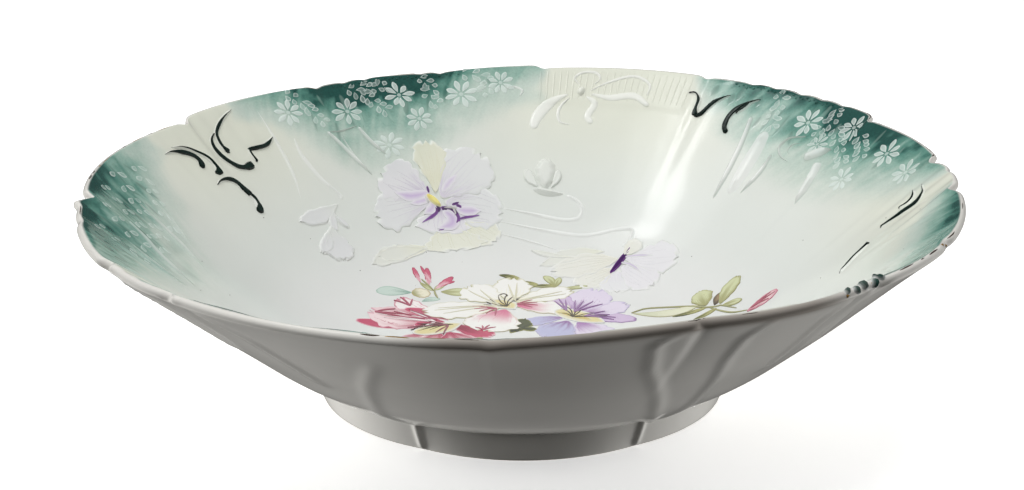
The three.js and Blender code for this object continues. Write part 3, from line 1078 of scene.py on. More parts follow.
class GuidedTree:
    """A geometry node tree that works on a guide mesh, with named inputs."""

    def __init__(self, name: str) -> None:
        """Starts the tree with its geometry input and output."""
        self.tree = bpy.data.node_groups.new(name, "GeometryNodeTree")
        self.tree.interface.new_socket("Guide", in_out="INPUT", socket_type="NodeSocketGeometry")
        self.tree.interface.new_socket("Made", in_out="OUTPUT", socket_type="NodeSocketGeometry")
        self.source = self.tree.nodes.new("NodeGroupInput")
        self.output = self.tree.nodes.new("NodeGroupOutput")
        self.values: dict[str, float | int] = {}

    def value(self, name: str, kind: str, amount: float | int) -> None:
        """Adds a named input and keeps the amount it is to be given."""
        socket = self.tree.interface.new_socket(name, in_out="INPUT", socket_type=kind)
        self.values[socket.identifier] = amount

    def link(self, start: bpy.types.NodeSocket, end: bpy.types.NodeSocket) -> None:
        """Links two sockets."""
        self.tree.links.new(start, end)

    def close(self, made: bpy.types.NodeSocket, material: bpy.types.Material) -> None:
        """Ends the tree in Realize Instances and Set Material."""
        real = self.tree.nodes.new("GeometryNodeRealizeInstances")
        dressed = self.tree.nodes.new("GeometryNodeSetMaterial")
        dressed.inputs["Material"].default_value = material
        self.link(made, real.inputs["Geometry"])
        self.link(real.outputs["Geometry"], dressed.inputs["Geometry"])
        self.link(dressed.outputs["Geometry"], self.output.inputs["Made"])

    def run(self, name: str, points: Array, edges: Array) -> bpy.types.Object:
        """Runs the tree on a guide.

        Args:
            name: Name of the made piece.
            points: The guide's vertices in millimetres.
            edges: The guide's edges.

        Returns:
            A plain mesh object with the result.
        """
        guide = bpy.data.meshes.new(name + "_guide")
        guide.from_pydata((points * TO_METRES).tolist(), edges.tolist(), [])
        made = bpy.data.objects.new(name, guide)
        bpy.context.scene.collection.objects.link(made)
        modifier = made.modifiers.new("tree", "NODES")
        modifier.node_group = self.tree
        for identifier, amount in self.values.items():
            modifier[identifier] = amount
        shape = made.evaluated_get(bpy.context.evaluated_depsgraph_get())
        data = bpy.data.meshes.new_from_object(shape)
        made.modifiers.remove(modifier)
        made.data = data
        data.name = name
        data.shade_smooth()
        bpy.data.meshes.remove(guide)
        return made


@dataclass
class FanFlutes:
    """Fine ribs fanned across the two fluted fans, each swept along its own line up the wall."""

    shop: Workshop
    pitch: float = 1.04
    first_station: float = 119.7
    last_station: float = 130.4
    radius: float = 0.62
    sunk: float = 0.15
    steps: int = 12

    def tree(self) -> GuidedTree:
        """Builds the node tree that sweeps a round section along each guide line."""
        made = GuidedTree("fan_rib_sweep")
        made.value("Rib Radius", "NodeSocketFloat", self.radius * TO_METRES)
        made.value("Rib Sides", "NodeSocketInt", 10)
        nodes = made.tree.nodes
        line = nodes.new("GeometryNodeMeshToCurve")
        section = nodes.new("GeometryNodeCurvePrimitiveCircle")
        sweep = nodes.new("GeometryNodeCurveToMesh")
        sweep.inputs["Fill Caps"].default_value = True
        made.link(made.source.outputs["Guide"], line.inputs["Mesh"])
        made.link(made.source.outputs["Rib Radius"], section.inputs["Radius"])
        made.link(made.source.outputs["Rib Sides"], section.inputs["Resolution"])
        made.link(line.outputs["Curve"], sweep.inputs["Curve"])
        made.link(section.outputs["Curve"], sweep.inputs["Profile Curve"])
        made.close(sweep.outputs["Mesh"], self.shop.materials[Finish.GLAZE])
        return made

    def build(self) -> None:
        """Builds the ribs of each fluted fan as one piece."""
        form, tree = self.shop.form, self.tree()
        for number, fan in enumerate((fan for fan in FANS if fan.fluted), start=1):
            ribs = int(2 * fan.half_width / self.pitch)
            azimuths = fan.centre + (np.arange(ribs) - (ribs - 1) / 2) * self.pitch
            stations = np.linspace(self.first_station, self.last_station, self.steps)
            a, s = np.meshgrid(azimuths, stations, indexing="ij")
            ends = np.minimum(ease(s, stations[0], stations[0] + 1.5), 1 - ease(s, 129.0, 131.0))
            points = form.on(a, s, self.sunk - self.radius - 0.25 * (1 - ends)).reshape(-1, 3)
            first = np.arange(points.shape[0]).reshape(ribs, self.steps)[:, :-1].ravel()
            piece = tree.run(f"fan_flutes_{number}", points, np.stack([first, first + 1], axis=-1))
            count = len(piece.data.vertices)
            places = np.zeros(count * 3)
            piece.data.vertices.foreach_get("co", places)
            azimuth, station = form.station_of(places.reshape(-1, 3) / TO_METRES)
            self.shop.colour(piece.data, self.shop.ground.colour(azimuth, station), 0.02)
            self.shop.hand_over(piece, Finish.GLAZE, Slot.SHELL)


@dataclass
class Ribbon:
    """The moulded bow at the top of the fluted fan."""

    shop: Workshop
    band: Relief = Relief(body=0.3, line=0.2, line_width=0.5, ramp=1.2, edge=-0.08)

    def build(self) -> None:
        """Builds the loops, tails and knot."""
        bow = Sprigs(self.shop, "ribbon_bow")
        form = self.shop.form
        lines = (
            Strand(((80.6, 125.2), (81.6, 127.4), (80.4, 129.3), (78.4, 129.2), (77.6, 127.2),
                (78.6, 125.2)), 1.5),
            Strand(((82.2, 122.2), (84.4, 120.4), (86.2, 117.6), (87.6, 113.6), (87.9, 110.6)), 4.4, 0.3,
                0.7),
            Strand(((82.0, 121.2), (83.6, 117.6), (83.4, 113.6), (81.4, 112.4)), 1.5, 0.5, 0.5),
            Strand(((79.4, 121.6), (77.8, 119.4), (78.6, 115.4), (77.6, 113.0)), 3.0, 0.4, 0.8),
            Strand(((79.0, 123.2), (76.0, 126.4), (72.4, 128.6), (69.6, 126.4), (69.4, 122.6)), 1.6, 0.5,
                0.6),
            Strand(((78.8, 122.4), (75.4, 121.4), (71.6, 122.4), (68.6, 119.6)), 3.2, 0.3, 0.6),
            Strand(((92.6, 123.7), (91.3, 124.4), (89.9, 123.1), (90.3, 121.3)), 1.3, 0.6, 0.6),
        )
        for strand in lines:
            # Each strand is painted with a highlight along its ridge.
            bow.strand(strand, RIDGE_HIGHLIGHT, self.band)
        knot = WallSpot(form, 80.4, 123.2)
        bow.blade(knot, Blade((0, -2.2), (0.4, 2.4), 1.7, full=0.5), RAISED, Relief(1.0, 0, 0.5, 1.2, -0.12))
        bow.finish(
            Finish.GLAZE, Slot.RELIEF,
            "ribbon_loop", "ribbon_left_tail", "ribbon_centre_tail", "ribbon_right_tail", "ribbon_knot",
        )


CREAM = linear(228, 228, 200)
LILAC = linear(222, 216, 231)
WHITE_LILAC = linear(229, 228, 233)
PALE_LILAC = linear(232, 228, 236)
MAUVE = linear(184, 158, 206)
PURPLE = linear(112, 58, 136)
DARK_PURPLE = linear(62, 24, 84)
# Pale white used as a painted highlight along raised petal and leaf edges; also the white of the pistil's
# raised strokes.
PALE_EDGE_HIGHLIGHT = linear(240, 240, 236)


@dataclass
class LargeBlossom:
    """The big moulded blossom on the back wall, with its tinted petals and painted heart."""

    shop: Workshop
    azimuth: float = 108.0
    station: float = 88.5

    def petals(self, spot: WallSpot) -> None:
        """Builds the petals, the back ones first."""
        made = Sprigs(self.shop, "large_blossom_petals")
        # The petals' white edges are a painted highlight along their raised rims.
        cream = Tint(linear(226, 221, 184), linear(230, 229, 206), PAINTED_HIGHLIGHT, 0.7, edge_width=0.9, feather=0.3)
        leaf = Tint(linear(228, 227, 190), linear(232, 232, 212), PAINTED_HIGHLIGHT, 0.6, edge_width=0.9, feather=0.3)
        lilac = Tint(MAUVE, PALE_LILAC, PAINTED_HIGHLIGHT, 0.6, root_reach=0.5, veins=6, edge_width=0.9, feather=0.3)
        pale = Tint(linear(208, 188, 224), WHITE_LILAC, PAINTED_HIGHLIGHT, 0.52, root_reach=0.5, veins=6, edge_width=0.9,
            feather=0.3)
        blades = (
            (Blade((-6.5, -17.5), (-29.5, -16.5), 3.9, bend=-0.05, ruffle=0.1, waves=3), leaf),
            (Blade((6.0, -8.0), (15.4, -18.0), 6.4, full=0.66, ruffle=0.09, waves=4), leaf),
            (Blade((0.5, -8.0), (0.6, -21.5), 11.0, full=0.7, ruffle=0.09, waves=5), leaf),
            (Blade((1.0, 0.4), (20.6, -5.4), 8.8, full=0.62, ruffle=0.08), pale),
            (Blade((0.2, -1.6), (-2.6, -13.0), 9.4, full=0.62, ruffle=0.08), lilac),
            (Blade((-2.6, 1.2), (-25.0, -1.4), 8.0, full=0.68, ruffle=0.09, waves=5), pale),
            (Blade((-3.0, 3.8), (-19.0, 15.4), 9.2, full=0.66, ruffle=0.1, waves=5), lilac),
            (Blade((0.2, 1.8), (18.6, 19.6), 10.2, full=0.62, ruffle=0.1, waves=5), pale),
            (Blade((-1.2, 3.4), (0.2, 27.0), 6.2, bend=0.03, full=0.7, ruffle=0.1, waves=4), cream),
        )
        for step, (blade, tint) in enumerate(blades):
            made.layer = 0.04 * step
            made.blade(spot, blade, tint, PETAL)
            made.hairlines(spot, blade, tint, 0.3, 9, PETAL.body)
        made.finish(Finish.FLOWERS, Slot.LILAC, "large_blossom")

    def heart(self, spot: WallSpot) -> None:
        """Builds the pistil and the purple brush strokes about it."""
        made = Sprigs(self.shop, "large_blossom_heart")
        made.layer = 0.46
        violet = Tint(DARK_PURPLE, PURPLE, linear(150, 106, 178), 0.95, root_reach=0.5, edge_width=0.35)
        dark = Tint(DARK_PURPLE, DARK_PURPLE, PURPLE, 0.95, edge_width=0.4)
        soft = Tint(linear(200, 176, 218), linear(200, 176, 218), PALE_LILAC, 0.85, edge_width=2.3)
        strokes = (
            (((-3.4, 5.0), (-7.0, 4.2), (-11.0, 4.4), (-15.5, 6.6)), 4.2, soft),
            (((-3.4, 7.4), (-3.8, 4.8), (-7.6, 4.0), (-12.0, 4.2)), 1.2, violet),
            (((-3.4, 1.2), (-2.2, -2.6), (-3.6, -4.4), (-8.4, -6.8)), 1.2, violet),
            (((-2.6, 1.4), (-3.6, -1.6), (-7.0, -3.6)), 3.4, soft),
            (((-0.6, -1.7), (2.4, -2.4), (4.0, -4.6), (4.2, -7.4), (0.6, -10.0), (-3.4, -10.9)), 1.6,
                violet),
            (((0.0, -3.0), (2.4, -6.0), (1.4, -9.0), (-3.6, -10.0)), 4.6, soft),
            (((4.4, -7.0), (8.0, -6.4), (12.0, -6.0)), 1.0, violet),
            (((5.0, -1.0), (6.2, -2.6), (5.0, -4.6)), 1.4, violet),
            (((4.4, -3.0), (8.0, -4.0), (13.0, -4.2)), 4.0, soft),
            (((1.6, 4.6), (4.6, 8.0), (8.0, 11.0)), 2.6, soft),
            (((-3.4, 2.4), (-7.0, 1.6), (-11.0, 1.2)), 3.0, soft),
            (((-2.2, 0.2), (-1.4, -2.0), (-2.4, -3.8)), 1.5, dark),
            (((-0.4, -2.0), (0.8, -2.6), (1.8, -2.2)), 1.3, dark),
            (((3.2, -2.0), (4.2, -4.4), (3.9, -6.6)), 1.4, dark),
            (((3.6, -1.0), (5.2, -0.6), (6.2, -0.2)), 0.9, dark),
        )
        for line, width, tint in strokes:
            made.flat_strand(spot, Strand(line, width, 0.6, 0.15), tint, FLUSH)
        gold = Tint(linear(240, 222, 120), linear(242, 232, 150), linear(253, 252, 246), edge_width=0.75)
        raised = Relief(body=1.0, edge=-0.2, ramp=1.0)
        made.blade(spot, Blade((-4.5, 4.4), (-0.2, -1.8), 1.6, full=0.5), gold, raised)
        # Raised white strokes on the pistil, in the pale white of the petals' painted edge highlight.
        for line in (((0.4, -2.0), (2.6, -2.2), (5.0, -2.9)), ((3.4, -2.4), (4.0, -4.2), (3.6, -5.2)),
                     ((-5.0, 4.0), (-4.9, 2.0), (-4.2, 0.6))):
            made.flat_strand(spot, Strand(line, 0.9, 0.5, 0.9), plain(PALE_EDGE_HIGHLIGHT),
                Relief(0.9, edge=-0.2, ramp=0.5))
        made.finish(Finish.FLOWERS, Slot.FLOWERS)

    def build(self) -> None:
        """Builds the blossom."""
        spot = WallSpot(self.shop.form, self.azimuth, self.station)
        self.petals(spot)
        self.heart(spot)


@dataclass
class SmallBlossom:
    """The small lilac blossom low on the wall, with its cream petal and purple slash."""

    shop: Workshop
    azimuth: float = 62.0
    station: float = 68.0

    def build(self) -> None:
        """Builds the petals and the painted slash."""
        spot = WallSpot(self.shop.form, self.azimuth, self.station)
        made = Sprigs(self.shop, "small_blossom_petals")
        # The petals' pale edges are a painted highlight along their raised rims.
        cream = Tint(linear(230, 226, 206), linear(232, 231, 220), PALE_EDGE_HIGHLIGHT, 0.6, edge_width=0.9,
            feather=0.3)
        white = Tint(LILAC, WHITE_LILAC, PALE_EDGE_HIGHLIGHT, 0.5, veins=4, edge_width=0.9, feather=0.3)
        lilac = Tint(LILAC, PALE_LILAC, PALE_EDGE_HIGHLIGHT, 0.5, root_reach=0.35, veins=5, edge_width=0.9,
            feather=0.4)
        blades = (
            (Blade((-0.5, -1.0), (-9.5, -13.5), 6.0, ruffle=0.08), cream),
            (Blade((0.5, -2.0), (6.0, -13.5), 6.2, ruffle=0.08), white),
            (Blade((-0.5, 3.5), (-21.0, -6.5), 6.4, full=0.62, ruffle=0.09), cream),
            (Blade((1.0, 0.5), (17.0, -5.0), 7.0, full=0.62, ruffle=0.08), lilac),
            (Blade((0.8, 3.2), (20.0, 9.5), 6.6, full=0.64, ruffle=0.08), lilac),
            (Blade((0.2, 5.0), (3.0, 12.5), 3.4, ruffle=0.06), cream),
        )
        for step, (blade, tint) in enumerate(blades):
            made.layer = 0.06 * step
            made.blade(spot, blade, tint, PETAL)
            made.hairlines(spot, blade, tint, 0.3, 7, PETAL.body)
        made.finish(Finish.FLOWERS, Slot.LILAC, "small_blossom")
        slash = Sprigs(self.shop, "small_blossom_heart")
        slash.layer = 0.4
        dark = Tint(DARK_PURPLE, DARK_PURPLE, PURPLE, 1.0, edge_width=0.5)
        slash.flat_strand(spot, Strand(((0.9, 8.6), (0.2, 3.6), (-0.9, -3.8)), 1.9, 0.15, 0.5), dark)
        for line in (((0.8, 4.4), (5.0, 6.0), (10.4, 7.4)), ((0.6, 1.8), (4.6, 1.6), (9.4, -0.6))):
            slash.flat_strand(spot, Strand(line, 1.2, 0.6, 0.1), plain(MAUVE, 0.6, feather=0.5))
        slash.finish(Finish.FLOWERS, Slot.FLOWERS)


@dataclass
class Bud:
    """The moulded bud on its looped stem."""

    shop: Workshop

    def build(self) -> None:
        """Builds the bud and its sepals."""
        spot = WallSpot(self.shop.form, 86.4, 94.8)
        made = Sprigs(self.shop, "rose_bud_moulded")
        swell = Relief(body=1.3, line=0.3, line_width=0.5, ramp=1.8, edge=-0.15)
        leafy = Relief(body=0.6, line=0.3, line_width=0.4, ramp=0.8, edge=-0.15)
        made.blade(spot, Blade((0.2, -3.4), (-4.6, 4.6), 1.9, bend=-0.1, ruffle=0.05), RAISED, leafy)
        made.blade(spot, Blade((4.2, -3.6), (6.4, 4.6), 1.6, bend=0.1), RAISED, leafy)
        made.blade(spot, Blade((2.6, -4.0), (1.8, 9.4), 3.7, full=0.55, ruffle=0.07), RAISED, swell)
        made.blade(spot, Blade((-2.0, -3.6), (9.0, -5.4), 1.7, bend=0.06, full=0.4), RAISED, swell)
        made.finish(Finish.GLAZE, Slot.RELIEF, "rose_bud")


@dataclass
class BellBlossom:
    """The moulded bell flower, with its sepals and bud."""

    shop: Workshop

    def build(self) -> None:
        """Builds the flower."""
        spot = WallSpot(self.shop.form, 137.5, 84.0)
        made = Sprigs(self.shop, "bell_blossom_moulded")
        low = Relief(body=0.35, line=0.35, line_width=0.5, ramp=1.1, edge=-0.12)
        # Its white edge is a painted highlight along the raised rim.
        tint = Tint(linear(226, 228, 224), WHITE_LILAC, PAINTED_HIGHLIGHT, 0.5, edge_width=0.9)
        for blade in (
            Blade((11.0, 12.6), (-8.6, 10.4), 3.4, bend=-0.08, ruffle=0.07, waves=3),
            Blade((8.2, 10.8), (3.0, 2.2), 1.7, bend=0.1),
            Blade((6.4, 9.6), (8.6, 2.4), 1.3),
            Blade((2.4, 5.6), (-2.2, -9.2), 5.6, full=0.66, ruffle=0.07, waves=4),
            Blade((0.8, 4.2), (-8.2, -3.4), 2.6, bend=-0.08, ruffle=0.06),
        ):
            made.blade(spot, blade, tint, low)
            made.layer += 0.06
        made.finish(Finish.GLAZE, Slot.RELIEF, "bell_blossom")


@dataclass
class Stems:
    """The moulded stems and leaves between the blossoms."""

    shop: Workshop
    rib: Relief = Relief(body=0.42, edge=-0.08, ramp=1.1)

    def stem(self, name: str, node: str, *strands: Strand) -> None:
        """Builds one stem with its side strands."""
        made = Sprigs(self.shop, name)
        for strand in strands:
            # Each strand is painted with a highlight along its ridge.
            made.strand(strand, RIDGE_HIGHLIGHT, self.rib)
        made.finish(Finish.GLAZE, Slot.RELIEF, node)

    def leaf(self, name: str, node: str, spot: WallSpot, *blades: Blade) -> None:
        """Builds a leaf or two with a raised edge."""
        made = Sprigs(self.shop, name)
        # The pale edge is a painted highlight along the leaf's raised rim.
        tint = Tint(CREAM, linear(228, 229, 216), PALE_EDGE_HIGHLIGHT, 0.5)
        for blade in blades:
            made.blade(spot, blade, tint, Relief(0.18, 0.24, 0.45, 0.8, -0.08))
            made.layer += 0.06
        made.finish(Finish.GLAZE, Slot.RELIEF, node)

    def build(self) -> None:
        """Builds every stem and leaf."""
        self.stem(
            "bud_stem_moulded", "bud_stem",
            Strand(((80.4, 90.2), (77.6, 88.6), (76.1, 86.0), (76.8, 83.4), (80.6, 82.6), (88.0, 84.2),
                    (94.6, 86.0)), 2.2, 0.9, 0.4, rows=49),
        )
        self.stem(
            "trailing_stem_moulded", "trailing_stem",
            Strand(((96.0, 82.0), (85.4, 79.0), (76.0, 77.8), (71.0, 79.0), (66.6, 81.2), (63.0, 81.8),
                    (62.4, 78.6), (63.6, 75.4)), 2.2, 0.4, 0.9, rows=57),
            Strand(((96.5, 78.0), (87.0, 74.4), (79.0, 71.4)), 1.6, 0.5, 0.3),
            Strand(((92.0, 77.4), (90.0, 74.0), (87.6, 73.4)), 0.7, 0.5, 0.3),
        )
        self.stem(
            "bell_stem_moulded", "bell_stem",
            Strand(((131.9, 116.0), (132.4, 110.0), (131.4, 102.0), (129.4, 96.2), (129.8, 94.6)), 2.3, 0.4,
                0.8,
                   rows=41),
            Strand(((135.3, 127.0), (135.4, 117.0), (136.2, 106.0), (138.4, 97.6)), 1.9, 0.3, 0.3, rows=41),
        )
        form = self.shop.form
        self.leaf(
            "blossom_leaf_north_moulded", "blossom_leaf_north", WallSpot(form, 76.5, 68.5),
            Blade((12.0, 5.0), (-9.6, -4.6), 3.4, bend=0.08, ruffle=0.06, waves=3),
            Blade((3.0, 1.0), (-14.0, 3.4), 1.4, bend=-0.06),
        )
        self.leaf(
            "blossom_leaf_west_moulded", "blossom_leaf_west", WallSpot(form, 122.5, 76.0),
            Blade((9.6, -1.6), (-13.0, -3.6), 4.0, bend=0.05, ruffle=0.08, waves=3),
        )


@dataclass
class Drapery:
    """The folds, loops and drops moulded in the green lobes."""

    shop: Workshop
    ridge: Relief = Relief(body=1.35, edge=-0.15, ramp=1.5)
    low: Relief = Relief(body=0.8, edge=-0.1, ramp=1.0)
    pillow: Relief = Relief(body=1.2, edge=-0.1, ramp=3.2)
    opposite_turn: float = -144.0

    def fold(self, name: str, node: str, turn: float, relief: Relief, *strands: Strand) -> None:
        """Builds one fold, turned about the axis."""
        made = Sprigs(self.shop, name)
        for strand in strands:
            moved = tuple((azimuth + turn, station) for azimuth, station in strand.line)
            line = Strand(moved, strand.width, strand.start, strand.end, strand.blob, strand.rows, 9)
            # Each fold is painted with a highlight down its crest and shade along its edges.
            made.strand(line, CREST_HIGHLIGHT_EDGE_SHADE, relief)
        made.finish(Finish.GLAZE, Slot.RELIEF, node)

    def build(self) -> None:
        """Builds every fold."""
        east = (
            ("fold_1", self.low, Strand(((50.4, 121.4), (49.4, 114.0), (48.7, 106.0), (48.2, 95.6)), 2.6,
                0.8, 0.5)),
            ("fold_2", self.pillow, Strand(((46.4, 118.4), (45.8, 110.0), (45.4, 98.0)), 6.4, 0.7, 0.7)),
            ("fold_3", self.low, Strand(((42.6, 112.4), (42.4, 106.0), (43.2, 99.0)), 2.3, 0.6, 0.3)),
            ("fold_4", self.ridge, Strand(((32.2, 114.4), (30.8, 109.0), (29.4, 101.6)), 4.4, 0.9, 0.2)),
            ("drop", self.ridge, Strand(((35.8, 113.6), (34.0, 116.2), (31.8, 119.0)), 4.6, 0.9, 0.2)),
        )
        for side, turn in (("right", 0.0), ("south", self.opposite_turn)):
            for part, relief, strand in east:
                self.fold(f"{side}_{part}_moulded", f"{side}_{part}", turn, relief, strand)
        self.fold(
            "right_loop_moulded", "right_loop", 0, self.low,
            Strand(((38.6, 119.8), (41.4, 118.2), (42.2, 115.0), (40.8, 112.6), (38.4, 111.6)), 1.6, 0.5,
                0.5),
            Strand(((38.2, 118.0), (40.0, 116.6), (40.2, 114.6), (39.0, 113.4)), 1.0, 0.5, 0.5),
        )
        self.fold(
            "left_fold_1_moulded", "left_fold_1", 0, self.low,
            Strand(((125.4, 116.0), (123.2, 109.2), (120.4, 100.0)), 2.5, 0.8, 0.3),
            Strand(((122.9, 114.4), (122.3, 107.6), (120.6, 100.8)), 1.7, 0.5, 0.3),
            Strand(((125.6, 115.9), (122.6, 115.6), (119.2, 116.4)), 1.2, 0.6, 0.6),
        )
        self.fold(
            "left_fold_2_moulded", "left_fold_2", 0, self.low,
            Strand(((119.2, 116.0), (117.9, 110.4), (115.8, 105.0)), 2.2, 0.8, 0.3),
        )
        self.fold(
            "west_fold_1_moulded", "west_fold_1", 0, self.low,
            Strand(((175.5, 118.5), (177.5, 106.0), (180.5, 96.4)), 1.7, 0.5, 0.2),
            Strand(((171.0, 119.0), (173.0, 109.0), (176.5, 100.0)), 1.2, 0.5, 0.2),
        )
        self.fold(
            "west_fold_2_moulded", "west_fold_2", 0, self.low,
            Strand(((-174.5, 119.5), (-170.5, 108.0), (-167.5, 98.6)), 1.8, 0.5, 0.2),
            Strand(((-168.0, 118.0), (-165.0, 108.0), (-164.0, 101.0)), 1.2, 0.5, 0.2),
        )


@dataclass(frozen=True)
class Scroll:
    """One enamelled scroll: the frame's nodes it stands for and its brush strokes."""

    nodes: tuple[str, ...]
    strokes: tuple[Strand, ...]


@dataclass
class Scrolls:
    """Low scroll mouldings with dark green enamel drawn along them."""

    shop: Workshop
    roll: Relief = Relief(body=0.55, edge=-0.12, ramp=1.1)
    line: Relief = Relief(body=0.75, edge=0.05, ramp=0.3)
    opposite_turn: float = -144.0

    def scrolls(self) -> tuple[Scroll, ...]:
        """The scrolls, as they were drawn."""
        return (
            Scroll(("scroll_west_1",), (
                Strand(((158.9, 124.3), (156.7, 123.9), (155.2, 122.5), (153.7, 120.1), (153.6, 117.8),
                        (154.2, 116.4)), 1.35, 0.15, 0.9, 0.35),)),
            Scroll(("scroll_west_2",), (
                Strand(((156.5, 125.4), (154.6, 124.0), (152.9, 122.0), (151.5, 118.7), (151.3, 115.4),
                        (151.8, 112.8)), 0.9, 0.15, 1.5, 0.75),)),
            Scroll(("scroll_west_3",), (
                Strand(((154.1, 110.5), (152.6, 111.2), (151.0, 110.8), (149.7, 109.0), (149.2, 106.4),
                        (148.7, 103.8)), 1.3, 0.3, 1.2),
                Strand(((149.2, 106.0), (148.5, 103.0), (148.9, 100.4), (150.0, 98.4)), 1.1, 0.6, 1.4, 0.6),
                )),
            Scroll(("scroll_west_4",), (
                Strand(((139.7, 128.8), (142.0, 127.3), (144.4, 125.1), (145.9, 122.8), (146.5, 119.4),
                        (145.9, 117.0)), 1.1, 0.2, 0.9, 0.3),)),
            Scroll(("scroll_west_5",), (
                Strand(((146.0, 123.8), (147.6, 122.3), (148.3, 119.6), (148.0, 116.1), (146.9, 113.1),
                        (145.3, 111.6), (143.0, 111.7)), 1.2, 0.5, 1.3, 0.6, rows=41),)),
            Scroll(("scroll_west_6",), (
                Strand(((141.8, 111.9), (141.9, 114.6), (141.5, 116.6)), 0.8, 0.9, 0.9),
                Strand(((141.6, 116.2), (139.2, 115.7), (137.3, 116.2), (135.5, 117.8)), 1.3, 0.8, 0.15),)),
            Scroll(("scroll_north_1",), (
                Strand(((62.8, 125.2), (61.6, 125.7), (60.7, 124.2), (60.5, 121.3), (60.3, 118.9)), 1.0,
                    0.4, 1.1, 0.3),
                Strand(((60.2, 118.7), (59.2, 119.9), (57.9, 124.0), (55.8, 126.6)), 1.2, 0.9, 0.15),)),
            Scroll(("scroll_north_2",), (
                Strand(((53.1, 115.0), (54.2, 117.3), (54.1, 121.2), (52.8, 124.3), (50.5, 126.7)), 1.3,
                    1.0, 0.2),
                Strand(((53.4, 121.4), (52.4, 123.6), (51.8, 125.8)), 0.8, 0.5, 0.2),)),
            Scroll(("scroll_east_1",), (
                Strand(((6.4, 124.4), (3.4, 122.8), (2.3, 120.4), (2.5, 117.0), (2.7, 113.5), (3.1, 110.2)),
                       1.2, 0.15, 0.3, rows=41),
                Strand(((6.9, 121.8), (5.2, 121.0), (4.4, 118.9), (4.9, 116.3)), 0.8, 0.3, 0.3),)),
            Scroll(("scroll_east_2",), (
                Strand(((0.9, 106.4), (0.1, 103.6), (-0.4, 101.6), (-1.4, 99.6), (-2.8, 96.9)), 0.8, 0.9,
                    0.2),)),
        )

    def build(self) -> None:
        """Builds the rolls and the enamel of each scroll, and the hidden side's pair again."""
        green = Tint(linear(3, 24, 19), linear(5, 32, 26), linear(2, 18, 14), edge_width=0.3)
        drawn = [(scroll, 0.0) for scroll in self.scrolls()]
        drawn += [(scroll, self.opposite_turn) for scroll in self.scrolls() if "north" in scroll.nodes[0]]
        enamel = Sprigs(self.shop, "scroll_enamel_lines")
        for scroll, turn in drawn:
            node = scroll.nodes[0] if not turn else scroll.nodes[0].replace("north", "south")
            roll = Sprigs(self.shop, node + "_roll")
            for stroke in scroll.strokes:
                line = tuple((azimuth + turn, station) for azimuth, station in stroke.line)
                roll.strand(Strand(line, 2.6, 0.7, 0.7, stroke.blob, stroke.rows, 9), RAISED, self.roll)
                enamel.strand(
                    Strand(line, 1.35 * stroke.width, stroke.start, stroke.end, stroke.blob, stroke.rows, 9),
                    green, self.line,
                )
            roll.finish(Finish.GLAZE, Slot.RELIEF, node)
        enamel.finish(Finish.ENAMEL, Slot.SCROLL)


# ---- Painted flowers -------------------------------------------------------------------------------


